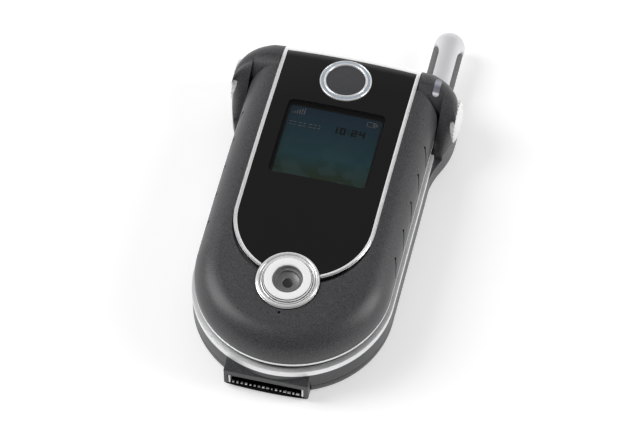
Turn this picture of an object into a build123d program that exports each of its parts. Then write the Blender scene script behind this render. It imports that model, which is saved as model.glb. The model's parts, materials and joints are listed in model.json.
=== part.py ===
from build123d import *
import math
import os

# Flip phone with a pull-out aerial, in millimetres. The closed phone lies on its battery cover:
# +Z goes up through the lid, +Y towards the hinge, and +X to the right of someone who looks down
# at the lid with the hinge at the top. The origin is the middle of the flat face that it rests on.

# ---- whole phone ---------------------------------------------------------------------------
overall_thickness = 24.0        # rest face to the crown of the lid
base_thickness = 11.4           # rest face to the top of the silver band
lid_gap = 0.6                   # between the closed lid and the band
base_half_width = 26.0
base_end_y = -48.3
tub_corner = 8.3                # plan radius of the base between the ears' roots
lid_half_width = 25.3
lid_end_y = -47.3
crown_y = 0.0                   # the lid is thickest here
cross_drop = 1.2                # fall of the crown from the middle to the lid's side
lid_edge_radius = 7.0

# ---- hinge ---------------------------------------------------------------------------------
hinge_y = 40.2
hinge_z = 15.0
barrel_radius = 7.0
open_angle = 155.0
running_gap = 0.3               # between covers that move past each other
shaft_gap = 0.05                # radial, between a pin and its bore
fit_gap = 0.15                  # between pieces that are assembled and stay
hinge_can_radius = 3.2
hinge_can_length = 13.0
hinge_shaft_radius = 1.8
hinge_pin_radius = 2.6
hinge_pin_bore = 1.3
pin_engagement = 5.0            # length of a pin inside its ear, and inside the knuckle

# ---- lid: window, trim and rims ------------------------------------------------------------
window_half_width = 17.35
window_end_y = -28.2
window_thickness = 1.1
window_wrap = 67.0              # degrees above the horizontal where the window ends on the barrel
trim_width = 0.95
trim_proud = 0.25
trim_wrap = -35.0               # degrees where the trim ends behind the barrel
lid_wall = 1.3
shoulder_y = 38.3               # upper end of the lid beside the knuckle
shoulder_corner = 4.5
bezel_edge = 0.9                # height of the inner cover's rim
edge_trim_height = 0.8
edge_trim_width = 1.6
bezel_inset = 0.35              # the inner cover's rim stands in by this much
rim_wall = 1.3                  # wall of the inner cover's rim inside the lid
slot_count = 5
slot_pitch = 8.75
slot_first_y = 21.6
slot_top_z = 19.6
slot_length = 5.4
slot_width = 0.5
slot_depth = 0.45
slot_slant = 40.0               # degrees below the horizontal, towards the free end
lid_boss_stand = 0.5            # from the side wall to a screw boss
boss_sink = 0.6                 # depth of a boss in the wall behind it
lid_screw_head = 0.4

# ---- badge and camera ----------------------------------------------------------------------
badge_y = 35.3
badge_radius = 6.8
badge_ring_width = 1.5
badge_proud = 0.55
badge_depth = 0.5
ring_lip = 0.1                  # a bright ring's outer edge stands this far over the window
camera_y = -28.4
camera_flange_radius = 8.1
camera_crest = 0.95
camera_sleeve_radius = 7.1
camera_groove_radius = 6.5
camera_sleeve_depth = 3.2
camera_flange_depth = 0.4
camera_disc_radius = 6.3
camera_disc_height = 1.1
camera_lip = 0.4                # bevel of the disc's edges
camera_disc_depth = 1.0
camera_mouth_radius = 3.1
camera_step = 0.6               # height of each step in the camera's mouth
camera_lens_radius = 2.1
camera_block = 10.0
microphone_y = -37.6
microphone_radius = 0.35

# ---- displays, boards and other pieces in the lid ------------------------------------------
outer_display_y = 14.5
outer_display_width = 27.0
outer_display_height = 25.0
outer_display_thickness = 2.6
inner_window_width = 38.0
inner_window_height = 46.0
inner_window_y = 2.5
inner_window_thickness = 0.8
inner_display_thickness = 2.0
inner_display_margin = 1.2
board_thickness = 0.8
flip_board_width = 38.0
flip_board_height = 44.0
earpiece_y = -38.6
earpiece_radius = 4.6
earpiece_thickness = 2.4
sound_slot_length = 6.5
sound_slot_width = 0.9
sound_slot_pitch = 1.8
bumper_radius = 1.4
bumper_x = 4.8
bumper_clearance = 0.1

# ---- ears ----------------------------------------------------------------------------------
ear_half_width = 29.9
ear_corner = 10.4               # depth of the rounded rear corner
ear_waist_y = 34.0              # the ear's side is widest from here back
ear_foot_y = 16.0               # the ear runs out into the base's side here
ear_round = 3.6                 # loss of radius from the knuckle to the cheek
ear_lean = 40.0                 # degrees past the top where the barrel turns into the slope
ear_turns = (0, 22, 40, 55, 68, 79, 90)   # sections of the ear, closer together near the cheek
cap_y = 36.0
cap_z = 12.6
cap_radius = 5.6
cap_sink = 1.4                  # depth of the cap's seat in the cheek
cap_height = 2.5                # from the seat to the top of the cap's dome
cap_rim = 0.9
cap_notches = 28
cap_notch = 0.5
light_x = 23.4
light_y = 40.0
light_length = 5.6
light_width = 1.7
light_depth = 0.8
light_proud = 0.15

# ---- base: housings, band and deck ---------------------------------------------------------
band_height = 2.0
band_width = 1.5
band_end_y = 25.4
deck_top = 11.2
deck_thickness = 1.3
base_wall = 1.4
seam_z = 4.4                    # parting of the battery cover and the rear housing
seam_gap = 0.2
back_edge_radius = 3.2
cover_top_y = 14.0              # hinge end of the battery cover
cover_wall = 1.2
tray_top = 6.2                  # upper face of the rear housing's floor
block_start_y = 31.4            # the hinge end of the rear housing is solid from here
hinge_end_wall = 1.8            # under the loudspeaker and the motor
boss_radius = 2.2
boss_places = ((16.5, 30.4), (-16.5, 30.4), (15.0, -38.0), (-15.0, -38.0))
screw_radius = 0.75
screw_head_radius = 1.6
screw_head_height = 1.0
screw_length = 4.2

# ---- battery, latch and boards -------------------------------------------------------------
battery_half_width = 17.0
battery_low_y = -32.0
battery_high_y = 11.5
battery_bottom = 1.4
battery_top = 5.2
battery_gap = 0.2
battery_corner = 1.5
well_wall = 1.0
latch_y = 20.0
latch_width = 12.0
latch_length = 4.0
latch_height = 1.6
latch_travel = 1.5
latch_recess = 0.25             # the latch lies this much inside the rest face
latch_bite = 0.8                # reach of the latch's tongue over the battery cover
latch_margin = 1.5              # from the latch's ends to its tongue and its grooves
latch_groove_width = 0.5
latch_groove_depth = 0.4
board_bottom = 7.2
board_half_width = 19.9
board_low_y = -44.0
board_high_y = 31.0
shield_height = 0.7
shield_margin = 3.0             # from the board's sides to the screening cans
shield_gap = 2.0                # between the two cans
shield_low_y = -22.0
shield_split_y = 0.0            # the left can starts here
shield_high_y = 20.0
capsule_inset = 2.0             # microphone capsule from the board's end
capsule_radius = 1.5
capsule_height = 1.0
port_radius = 0.5               # sound hole over the capsule
membrane_thickness = 0.8

# ---- keys ----------------------------------------------------------------------------------
key_travel = 0.3
key_proud = 0.35
key_gap = 0.25
key_flange = 0.6
key_flange_height = 0.6
key_corner = 1.6
key_chamfer = 0.25
number_width = 12.4
number_height = 6.6
number_pitch_x = 14.2
number_pitch_y = 8.4
number_first_y = -3.9
nav_y = 17.5
nav_radius = 9.0
nav_bore = 4.1
select_radius = 3.8
side_key_x = 17.0
side_key_width = 9.4
side_key_height = 6.0
soft_key_y = 23.6
call_key_y = 12.4
clear_key_y = 4.2
clear_key_height = 4.8
volume_y = 4.0
volume_z = 7.0
volume_length = 14.0
volume_height = 2.6
volume_proud = 0.6

# ---- aerial --------------------------------------------------------------------------------
aerial_x = 21.8
aerial_z = 6.5
stub_radius = 3.7
stub_end_y = 67.3
stub_gap = 0.25
stub_tip_radius = 3.3
grip_half_width = 2.6
grip_start = 1.2                # from the stub's lower end
grip_end_y = 62.6
grip_depth = 0.9
grip_sink = 0.2
whip_radius = 0.9
whip_length = 47.0
whip_seat = 2.4                 # depth of the rod in the stub
bush_radius = 2.0
bush_length = 3.0

# ---- dock and other small pieces -----------------------------------------------------------
dock_x = -1.0
dock_half_width = 11.0
dock_bottom = 1.6
dock_top = 5.4
dock_wall = 0.7
dock_depth = 6.0
dock_reach_y = -48.6
contact_count = 12
contact_width = 0.7
contact_length = 4.0
contact_height = 0.35
speaker_x = -8.0
speaker_y = 38.6
speaker_radius = 6.0
speaker_thickness = 2.2
motor_x = 8.0
motor_y = 38.6
motor_radius = 2.0
motor_length = 9.0

# ---- derived levels and places -------------------------------------------------------------
lid_bottom = base_thickness + lid_gap
edge_trim_bottom = lid_bottom + bezel_edge
cover_bottom = edge_trim_bottom + edge_trim_height
band_bottom = base_thickness - band_height
deck_bottom = deck_top - deck_thickness
membrane_bottom = board_bottom + board_thickness
membrane_top = membrane_bottom + membrane_thickness
flange_top = deck_bottom - shaft_gap
flange_bottom = flange_top - key_flange_height
key_top = deck_top + key_proud
knuckle_half = window_half_width + trim_width
ear_inner = knuckle_half + running_gap
cheek_inner = lid_half_width + running_gap
cap_seat = ear_half_width - cap_sink
cap_reach = cap_seat + cap_height
lid_end_cavity_y = hinge_y - barrel_radius - running_gap - lid_wall

# The crown is an arc that runs on into the barrel without a corner, so its radius follows.
crown_rise = overall_thickness - hinge_z
crown_reach = hinge_y - crown_y
crown_radius = (crown_reach**2 + crown_rise**2 - barrel_radius**2) / (2 * (crown_rise - barrel_radius))
crown_axis = Axis((0, crown_y, overall_thickness - crown_radius), (1, 0, 0))
hinge_axis = Axis((0, hinge_y, hinge_z), (1, 0, 0))
tangent_angle = math.degrees(math.asin(crown_reach / (crown_radius - barrel_radius)))
cross_radius = (lid_half_width**2 + cross_drop**2) / (2 * cross_drop)
ear_end_y = hinge_y + barrel_radius - (cross_radius - math.sqrt(cross_radius**2 - ear_inner**2))
stub_start_y = ear_end_y + stub_gap
FAR = 2 * (ear_end_y - base_end_y)   # longer than the phone, for cutting blocks
OVERRUN = 1.0                        # how far other cutting solids run past what they cut


# ---- helpers -------------------------------------------------------------------------------
def plate(outline, low_z, high_z):
    """Upright solid over a plan outline."""
    return extrude(Pos(0, 0, low_z) * outline, amount=high_z - low_z)


def block(x_range, y_range, z_range):
    """Box between two corners."""
    spans = [high - low for low, high in (x_range, y_range, z_range)]
    middle = [(high + low) / 2 for low, high in (x_range, y_range, z_range)]
    return Pos(*middle) * Box(*spans)


def tongue(half_width, end_y, top_y):
    """Plan outline with straight sides and a half-round free end."""
    centre_y = end_y + half_width
    end = ThreePointArc((-half_width, centre_y), (0, end_y), (half_width, centre_y))
    sides = Polyline(end @ 1, (half_width, top_y), (-half_width, top_y), end @ 0)
    return make_face(end + sides)


def x_rod(radius, start, end, y, z):
    """Round rod along X."""
    rod = Cylinder(radius, abs(end - start), rotation=(0, 90, 0))
    return Pos((start + end) / 2, y, z) * rod


def y_rod(radius, start, end, x, z):
    """Round rod along Y."""
    rod = Cylinder(radius, abs(end - start), rotation=(90, 0, 0))
    return Pos(x, (start + end) / 2, z) * rod


def both_sides(shape):
    """The shape and its mirror image across the middle plane."""
    return shape + mirror(shape, about=Plane.YZ)


def crowned_profile(peak, floor, drop):
    """Cross-section under the crown's arc, lowered evenly by drop."""
    radius = cross_radius - drop
    half_span = cap_reach + OVERRUN
    sag = radius - math.sqrt(radius**2 - half_span**2)
    top = peak - drop
    arc = ThreePointArc((-half_span, top - sag), (0, top), (half_span, top - sag))
    return arc + Polyline(arc @ 1, (half_span, floor), (-half_span, floor), arc @ 0)


def crown_solid(drop):
    """Everything under the crown, from the barrel to past the free end."""
    end_angle = math.degrees(math.asin((crown_y - lid_end_y + lid_wall) / crown_radius))
    face = make_face(Plane.XZ * crowned_profile(overall_thickness, 0, drop))
    start = (Pos(0, crown_y, 0) * face).rotate(crown_axis, -tangent_angle)
    return revolve(start, axis=crown_axis, revolution_arc=tangent_angle + end_angle)


def barrel_solid(half_length, drop=0.0, gap=0.0):
    """Crowned hinge barrel between two ends."""
    face = Pos(0, hinge_y, hinge_z) * make_face(Plane.XZ * crowned_profile(barrel_radius, 0, drop - gap))
    turned = revolve(face.rotate(hinge_axis, -tangent_angle), axis=hinge_axis)
    return turned & block((-half_length, half_length), (-FAR, FAR), (-FAR, FAR))


def skin(drop, thickness, wrap):
    """Layer that follows the crown and goes on round the barrel to the wrap angle."""
    end_angle = math.degrees(math.asin((crown_y - lid_end_y) / crown_radius))
    lid_part = crown_solid(drop) - crown_solid(drop + thickness)
    lid_part &= block((-FAR, FAR), (lid_end_y, FAR), (hinge_z, FAR))
    ring = barrel_solid(cap_reach, drop) - barrel_solid(cap_reach, drop + thickness)
    return lid_part + (ring & sector_solid(90 - tangent_angle, wrap))


def side_slab(face):
    """Solid across the whole width over a face drawn as (y, z)."""
    return extrude(Plane.YZ * face, amount=FAR, both=True)


def sector_solid(start, end):
    """Wedge about the hinge axis between two angles above +Y."""
    reach = 3 * barrel_radius
    turns = [math.radians(turn) for turn in (start, (start + end) / 2, end)]
    rim = [(reach * math.cos(turn), reach * math.sin(turn)) for turn in turns]
    return side_slab(Pos(hinge_y, hinge_z) * make_face(Polyline((0, 0), *rim, (0, 0))))


def crown_plane(y):
    """Plane on the crown's ridge at y, square to the surface."""
    tilt = math.asin((y - crown_y) / crown_radius)
    top = overall_thickness - crown_radius * (1 - math.cos(tilt))
    return Plane(origin=(0, y, top), x_dir=(1, 0, 0), z_dir=(0, math.sin(tilt), math.cos(tilt)))


def turned_on(plane, outline):
    """Revolve an outline of (radius, height) about a plane's normal."""
    return plane * revolve(make_face(Plane.XZ * outline), axis=Axis.Z)


def dome_arc(half_width, low, peak):
    """Arc from a rim to the peak on the axis, square to the axis there."""
    radius = (half_width**2 + (peak - low)**2) / (2 * (peak - low))
    half_turn = math.asin(half_width / radius) / 2
    middle = (radius * math.sin(half_turn), peak - radius * (1 - math.cos(half_turn)))
    return ThreePointArc((half_width, low), middle, (0, peak))


camera_plane = crown_plane(camera_y)
badge_plane = crown_plane(badge_y)


# ---- the lid -------------------------------------------------------------------------------
def lid_block(inset, drop, edge_radius, low_z):
    """Crowned form inside the lid's outline, with its upper edge rounded."""
    outline = tongue(lid_half_width - inset, lid_end_y + inset, hinge_y + barrel_radius)
    form = plate(outline, low_z, overall_thickness + OVERRUN) & crown_solid(drop)
    top = form.faces().sort_by(Axis.Z)[-1]
    rim = top.edges().filter_by(lambda edge: edge.center().Y < hinge_y - OVERRUN)
    return fillet(rim, edge_radius)


def side_slots():
    """Slanted grip slots that follow the lid's flanks."""
    outer = lid_block(-slot_depth, -slot_depth, lid_edge_radius + slot_depth, cover_bottom)
    inner = lid_block(slot_depth, slot_depth, lid_edge_radius - slot_depth, cover_bottom)
    cuts = []
    for index in range(slot_count):
        y = slot_first_y - index * slot_pitch
        shape = Pos(y, slot_top_z) * Rot(0, 0, slot_slant) * Pos(-slot_length / 2, 0) * SlotOverall(
            slot_length, slot_width)
        cuts.append(side_slab(shape))
    rods = Part() + cuts
    return (outer - inner) & rods


def flip_cover():
    """Outer shell of the lid with its hinge knuckle."""
    form = lid_block(0, 0, lid_edge_radius, cover_bottom)
    plan = Pos(0, shoulder_y - FAR / 2) * RectangleRounded(
        2 * (lid_half_width + fit_gap), FAR, shoulder_corner)
    ear_room = x_rod(barrel_radius + running_gap, -FAR, FAR, hinge_y, hinge_z)
    ear_room -= block((-knuckle_half, knuckle_half), (-FAR, FAR), (-FAR, FAR))
    sides = (form & plate(plan, 0, FAR)) - ear_room
    neck = form & block((-knuckle_half, knuckle_half), (0, FAR), (0, FAR))
    cover = sides + neck + barrel_solid(knuckle_half)
    cavity = lid_block(lid_wall, window_thickness + lid_wall, lid_edge_radius - lid_wall, lid_bottom)
    cover -= cavity & block((-FAR, FAR), (-FAR, lid_end_cavity_y), (0, FAR))
    cover -= window_recess()
    cover -= side_slots()
    half_w = outer_display_width / 2 + fit_gap
    half_h = outer_display_height / 2 + fit_gap
    cover -= block((-half_w, half_w), (outer_display_y - half_h, outer_display_y + half_h),
                   (cover_bottom, FAR))
    cover -= camera_cut(fit_gap)
    cover -= Pos(0, microphone_y, overall_thickness) * Cylinder(microphone_radius, overall_thickness / 2)
    cover -= x_rod(hinge_can_radius + fit_gap / 3, -knuckle_half, -knuckle_half + hinge_can_length,
                   hinge_y, hinge_z)
    cover -= x_rod(hinge_pin_radius + shaft_gap, knuckle_half - pin_engagement - fit_gap, knuckle_half,
                   hinge_y, hinge_z)
    return cover + cover_ribs()


def cover_ribs():
    """Two ribs across the lid beside the outer display, and four screw bosses."""
    inside = lid_block(lid_wall, window_thickness + lid_wall, lid_edge_radius - lid_wall, cover_bottom)
    ribs = []
    for side in (-1, 1):
        y = outer_display_y + side * (outer_display_height / 2 + lid_wall)
        low_z = overall_thickness - 2 * lid_wall - window_thickness - crown_rise / 3
        ribs.append(block((-FAR, FAR), (y - lid_wall / 2, y + lid_wall / 2), (low_z, FAR)))
    for x, y in lid_boss_places():
        ribs.append(Pos(x, y, 0) * extrude(Circle(boss_radius) - Circle(screw_radius), amount=FAR))
    return (Part() + ribs) & inside & block((-FAR, FAR), (-FAR, FAR), (cover_bottom, FAR))


def lid_boss_places():
    """Screw bosses in the lid: beside the knuckle and beside the earpiece."""
    high_x = lid_half_width - lid_wall - boss_radius - lid_boss_stand
    high_y = lid_end_cavity_y - boss_radius + boss_sink
    low_x = earpiece_radius + 2 * boss_radius
    low_y = earpiece_y + lid_wall
    return ((high_x, high_y), (-high_x, high_y), (low_x, low_y), (-low_x, low_y))


def window_plan(grow):
    """Outline of the window, grown evenly."""
    return tongue(window_half_width + grow, window_end_y - grow, hinge_y + 2 * barrel_radius)


def window_recess():
    """Step in the cover that takes the window and its trim."""
    layer = skin(-OVERRUN, window_thickness + OVERRUN, trim_wrap)
    return plate(window_plan(trim_width), 0, FAR) & layer


def camera_cut(gap):
    """Stepped round hole for the camera bezel, with its seams turned off the middle plane."""
    height = overall_thickness
    flange = Pos(0, 0, height / 2 - camera_flange_depth) * Cylinder(camera_flange_radius + gap / 3, height)
    sleeve = Pos(0, 0, -height / 2) * Cylinder(camera_sleeve_radius + gap, height)
    return camera_plane * Rot(0, 0, 90) * (flange + sleeve)


def flip_window():
    """Glossy window that runs from the camera over the hinge barrel."""
    lens = plate(window_plan(0), 0, FAR) & skin(0, window_thickness, window_wrap)
    lens -= camera_cut(fit_gap)
    return lens - badge_plane * Pos(0, 0, FAR / 2 - badge_depth) * Cylinder(badge_radius + shaft_gap, FAR)


def flip_trim():
    """Bright frame round the window, closed behind it over the hinge barrel."""
    frame = window_plan(trim_width) - window_plan(0)
    rim = plate(frame, 0, FAR) & skin(-trim_proud, window_thickness + trim_proud, window_wrap)
    ring = barrel_solid(knuckle_half) - barrel_solid(cap_reach, window_thickness)
    back = ring & sector_solid(window_wrap, trim_wrap)
    rim &= block((-knuckle_half, knuckle_half), (-FAR, FAR), (0, FAR))
    return rim + back - camera_cut(fit_gap)


def flip_edge_trim():
    """Thin bright line round the lid's lower edge."""
    outer = tongue(lid_half_width, lid_end_y, bezel_top_y())
    inner = tongue(lid_half_width - edge_trim_width, lid_end_y + edge_trim_width, hinge_y)
    return plate(outer - inner, edge_trim_bottom, cover_bottom)


def bezel_top_y():
    """Hinge end of the inner cover, clear of the ears' barrels."""
    reach = barrel_radius + running_gap
    return hinge_y - math.sqrt(reach**2 - (hinge_z - cover_bottom)**2) - running_gap


def badge_ring():
    """Bright ring of the round badge on the window."""
    inner = badge_radius - badge_ring_width
    crest = ThreePointArc((badge_radius, ring_lip), (badge_radius - badge_ring_width / 2, badge_proud),
                          (inner, 2 * ring_lip))
    rest = Polyline(crest @ 1, (inner, -badge_depth), (badge_radius, -badge_depth), crest @ 0)
    return turned_on(badge_plane, crest + rest)


def badge_disc():
    """Plain dark disc inside the ring."""
    radius = badge_radius - badge_ring_width - shaft_gap
    return badge_plane * Pos(0, 0, -badge_depth / 2) * Cylinder(radius, badge_depth)


def camera_bezel():
    """Bright outer ring of the camera, with a sleeve into the lid."""
    groove = camera_groove_radius
    middle = (camera_flange_radius + groove) / 2
    crest = ThreePointArc((camera_flange_radius, ring_lip), (middle, camera_crest), (groove, 2 * ring_lip))
    rest = Polyline(crest @ 1, (groove, -camera_sleeve_depth), (camera_sleeve_radius, -camera_sleeve_depth),
                    (camera_sleeve_radius, -camera_flange_depth),
                    (camera_flange_radius, -camera_flange_depth), crest @ 0)
    return turned_on(camera_plane, crest + rest)


def camera_ring():
    """Raised silver disc round the camera's mouth."""
    lip = camera_lip
    bore = camera_mouth_radius
    outline = Polyline((bore, -camera_disc_depth), (camera_disc_radius, -camera_disc_depth),
                       (camera_disc_radius, camera_disc_height - lip),
                       (camera_disc_radius - lip, camera_disc_height), (bore + lip, camera_disc_height),
                       (bore, camera_disc_height - lip), (bore, -camera_disc_depth))
    return turned_on(camera_plane, outline)


def camera_module():
    """Sensor block with a stepped round mouth under the camera ring."""
    radius = camera_disc_radius - camera_step
    rim = camera_mouth_radius - camera_step / 2
    bore = camera_lens_radius + fit_gap
    top = -camera_disc_depth - shaft_gap
    root = -camera_sleeve_depth - 2 * camera_step
    mouth = Polyline((rim, top), (radius, top), (radius, root), (0, root), (0, camera_floor()),
                     (bore, camera_floor()), (bore, top - camera_step), (rim, top - camera_step), (rim, top))
    barrel = turned_on(camera_plane, mouth)
    low_z = edge_trim_bottom + inner_display_thickness
    high_z = camera_plane.origin.Z - camera_sleeve_depth - camera_step
    half = camera_block / 2
    body = block((-half, half), (camera_y - half, camera_y + half), (low_z, high_z))
    return barrel + body


def camera_floor():
    """Level of the mouth's floor below the crown."""
    return -camera_disc_depth - shaft_gap - 3 * camera_step


def camera_lens():
    """Front lens at the bottom of the camera's mouth."""
    foot = camera_floor() + shaft_gap
    dome = dome_arc(camera_lens_radius, foot + camera_step / 2, foot + camera_step)
    outline = dome + Polyline(dome @ 1, (0, foot), (camera_lens_radius, foot), dome @ 0)
    return turned_on(camera_plane, outline)


def outer_display():
    """Small display module behind the window."""
    corner_y = outer_display_y + outer_display_height / 2
    tilt = math.asin((corner_y - crown_y) / crown_radius)
    fall = crown_radius * (1 - math.cos(tilt)) + (outer_display_width / 2)**2 / (2 * cross_radius)
    top = overall_thickness - fall - window_thickness - fit_gap
    half_w = outer_display_width / 2
    half_h = outer_display_height / 2
    return block((-half_w, half_w), (outer_display_y - half_h, outer_display_y + half_h),
                 (top - outer_display_thickness, top))


def flip_bezel():
    """Inner cover of the lid, with the display opening and the earpiece slots."""
    inset = bezel_inset
    outline = tongue(lid_half_width - inset, lid_end_y + inset, bezel_top_y())
    half_w = inner_window_width / 2 + fit_gap
    half_h = inner_window_height / 2 + fit_gap
    cover = plate(outline, lid_bottom, edge_trim_bottom)
    rim_inset = edge_trim_width + fit_gap
    rim_top_y = lid_end_cavity_y - fit_gap
    rim = tongue(lid_half_width - rim_inset, lid_end_y + rim_inset, rim_top_y)
    rim_inset += rim_wall
    rim -= tongue(lid_half_width - rim_inset, lid_end_y + rim_inset, rim_top_y - rim_wall)
    cover += plate(rim, edge_trim_bottom, cover_bottom + edge_trim_height)
    cover -= block((-half_w, half_w), (inner_window_y - half_h, inner_window_y + half_h), (0, FAR))
    for index in (-1, 0, 1):
        place = Pos(0, earpiece_y + index * sound_slot_pitch)
        cover -= plate(place * SlotOverall(sound_slot_length, sound_slot_width), 0, FAR)
    for x, y in lid_boss_places():
        cover -= Pos(x, y, cover_bottom) * plate(Circle(boss_radius + fit_gap), 0, FAR)
        cover -= Pos(x, y, lid_bottom) * Cylinder(screw_head_radius + fit_gap, bezel_edge)
        cover -= Pos(x, y, edge_trim_bottom) * Cylinder(screw_radius + fit_gap, FAR)
    return cover


def inner_window():
    """Clear window over the main display."""
    half_w = inner_window_width / 2
    half_h = inner_window_height / 2
    return block((-half_w, half_w), (inner_window_y - half_h, inner_window_y + half_h),
                 (lid_bottom, lid_bottom + inner_window_thickness))


def inner_display():
    """Main display module behind the inner window."""
    half_w = inner_window_width / 2 + inner_display_margin
    half_h = inner_window_height / 2 + inner_display_margin
    low_z = edge_trim_bottom + fit_gap
    return block((-half_w, half_w), (inner_window_y - half_h, inner_window_y + half_h),
                 (low_z, low_z + inner_display_thickness))


def flip_board():
    """Circuit board between the two displays."""
    low_z = edge_trim_bottom + inner_display_thickness + 2 * fit_gap
    half_h = flip_board_height / 2
    return block((-flip_board_width / 2, flip_board_width / 2),
                 (inner_window_y - half_h, inner_window_y + half_h), (low_z, low_z + board_thickness))


def earpiece():
    """Round receiver behind the slots at the lid's free end."""
    low_z = edge_trim_bottom + fit_gap
    return Pos(0, earpiece_y, low_z + earpiece_thickness / 2) * Cylinder(earpiece_radius, earpiece_thickness)


def flip_bumpers():
    """Rubber pads that meet the deck when the lid is shut."""
    height = lid_bottom - deck_top - bumper_clearance
    low_z = deck_top + bumper_clearance + height / 2
    y = lid_end_y + 2 * bumper_radius + lid_wall
    return both_sides(Pos(bumper_x, y, low_z) * Cylinder(bumper_radius, height))


def screw(head_radius, head_height, length):
    """Pan-head screw that points up, with its head's lower face at the origin."""
    head = Pos(0, 0, head_height / 2) * Cylinder(head_radius, head_height)
    shank = Pos(0, 0, length / 2) * Cylinder(screw_radius - shaft_gap, length)
    return head + shank


def flip_screws():
    """Four screws through the inner cover."""
    low_z = lid_bottom + bezel_edge / 2 - lid_screw_head
    return Part() + [Pos(x, y, low_z) * screw(screw_head_radius, lid_screw_head, screw_length)
                     for x, y in lid_boss_places()]


def hinge_can():
    """Spring-and-cam can held in the knuckle."""
    start = -knuckle_half + fit_gap
    can = x_rod(hinge_can_radius, start, start + hinge_can_length - 2 * fit_gap, hinge_y, hinge_z)
    bore_end = start + pin_engagement + fit_gap
    return can - x_rod(hinge_shaft_radius + shaft_gap, start, bore_end, hinge_y, hinge_z)


def hinge_shaft():
    """Shaft from the left ear into the can."""
    return x_rod(hinge_shaft_radius, -ear_inner - pin_engagement, -knuckle_half + pin_engagement,
                 hinge_y, hinge_z)


def hinge_pin():
    """Hollow pin from the right ear into the knuckle, with a way through for the flex."""
    pin = x_rod(hinge_pin_radius, knuckle_half - pin_engagement, ear_inner + pin_engagement, hinge_y, hinge_z)
    return pin - x_rod(hinge_pin_bore, 0, FAR, hinge_y, hinge_z)


# ---- the base ------------------------------------------------------------------------------
def ear_outline():
    """Plan outline of one ear: the rounded rear corner, and an S-curve into the base's side."""
    span = ear_half_width - ear_inner
    centre_y = ear_end_y - ear_corner
    corner = EllipticalCenterArc((ear_inner, centre_y), span, ear_corner)
    upper, lower = s_curve((ear_half_width, ear_waist_y), (base_half_width, ear_foot_y))
    side = Line((ear_half_width, ear_waist_y), (ear_half_width, centre_y))
    rest = Polyline(lower @ 1, (ear_inner, ear_foot_y), (ear_inner, ear_end_y))
    return make_face(Curve() + [corner, side, upper, lower, rest])


def s_radius():
    """Radius of the two equal arcs of the ear's S-curve."""
    shift = ear_half_width - base_half_width
    length = ear_waist_y - ear_foot_y
    return (shift**2 + length**2) / (4 * shift)


def s_curve(start, end):
    """Two equal arcs that leave and arrive along Y."""
    radius = s_radius()
    middle = ((start[0] + end[0]) / 2, (start[1] + end[1]) / 2)
    quarter = math.asin((start[1] - end[1]) / 2 / radius) / 2
    upper = (start[0] - radius * (1 - math.cos(quarter)), start[1] - radius * math.sin(quarter))
    lower = (end[0] + radius * (1 - math.cos(quarter)), end[1] + radius * math.sin(quarter))
    return ThreePointArc(start, upper, middle), ThreePointArc(middle, lower, end)


def ear_front(inset):
    """Where the upper ear starts, inset from the cheek: behind the band, or where the S-curve bulges."""
    if inset >= (ear_half_width - base_half_width) / 2:
        return max(band_end_y, (ear_waist_y + ear_foot_y) / 2)
    reach = math.sqrt(inset * (2 * s_radius() - inset))
    return max(band_end_y, ear_waist_y - reach)


def ear_section(turn):
    """Side outline of the upper ear; turn runs from 0 at the knuckle to 90 degrees at the cheek."""
    inward = 1 - math.cos(math.radians(turn))
    inset = (ear_half_width - ear_inner) * (1 - math.sin(math.radians(turn)))
    root = ear_end_y - hinge_y
    radius = root - ear_round * inward
    rear_y = ear_end_y - ear_corner * inward
    centre_y = rear_y - radius
    lean = math.radians(90 + ear_lean)
    low_y = min(ear_front(inset), centre_y - radius / 2)
    high = (centre_y + radius * math.cos(lean / 2), hinge_z + radius * math.sin(lean / 2))
    turned = (centre_y + radius * math.cos(lean), hinge_z + radius * math.sin(lean))
    arc = ThreePointArc((rear_y, hinge_z), high, turned)
    rest = Polyline(arc @ 1, (low_y, base_thickness), (low_y, band_bottom), (rear_y, band_bottom), arc @ 0)
    return make_face(Plane.YZ.offset(ear_half_width - inset) * (arc + rest))


def upper_ear():
    """Right ear above the band's lower edge, lofted from the knuckle out to the cheek."""
    return loft([ear_section(turn) for turn in ear_turns])


def tub_plan(inset=0.0):
    """Plan of the base without its ears: half-round free end, rounded hinge corners."""
    half = base_half_width - inset
    height = 2 * (ear_end_y - inset)
    plan = tongue(half, base_end_y + inset, 0)
    back = RectangleRounded(2 * half, height, tub_corner - inset)
    return plan + (back & (Pos(0, FAR / 2) * Rectangle(FAR, FAR)))


def lid_sweep():
    """Space that the lid takes in front of the ears' barrels, and when it is fully open."""
    reach = barrel_radius
    width = (-cheek_inner, cheek_inner)
    shut = block(width, (-FAR, hinge_y), (base_thickness, FAR))
    opened = block(width, (-FAR, hinge_y), (lid_bottom - running_gap, hinge_z + reach + running_gap))
    opened = opened.rotate(hinge_axis, -open_angle)
    knuckle = x_rod(barrel_radius + running_gap, -ear_inner, ear_inner, hinge_y, hinge_z)
    return shut + opened - barrel_solid(cap_reach) + knuckle + badge_sweep()


def badge_sweep():
    """Space that the badge's proud ring takes under the knuckle, and when the lid is fully open."""
    half = badge_radius + running_gap
    reach = badge_proud + running_gap
    rod = x_rod(barrel_radius + reach, -half, half, hinge_y, hinge_z)
    opened = block((-half, half), (badge_y, hinge_y), (hinge_z, badge_plane.origin.Z + reach))
    return rod + opened.rotate(hinge_axis, -open_angle)


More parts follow.
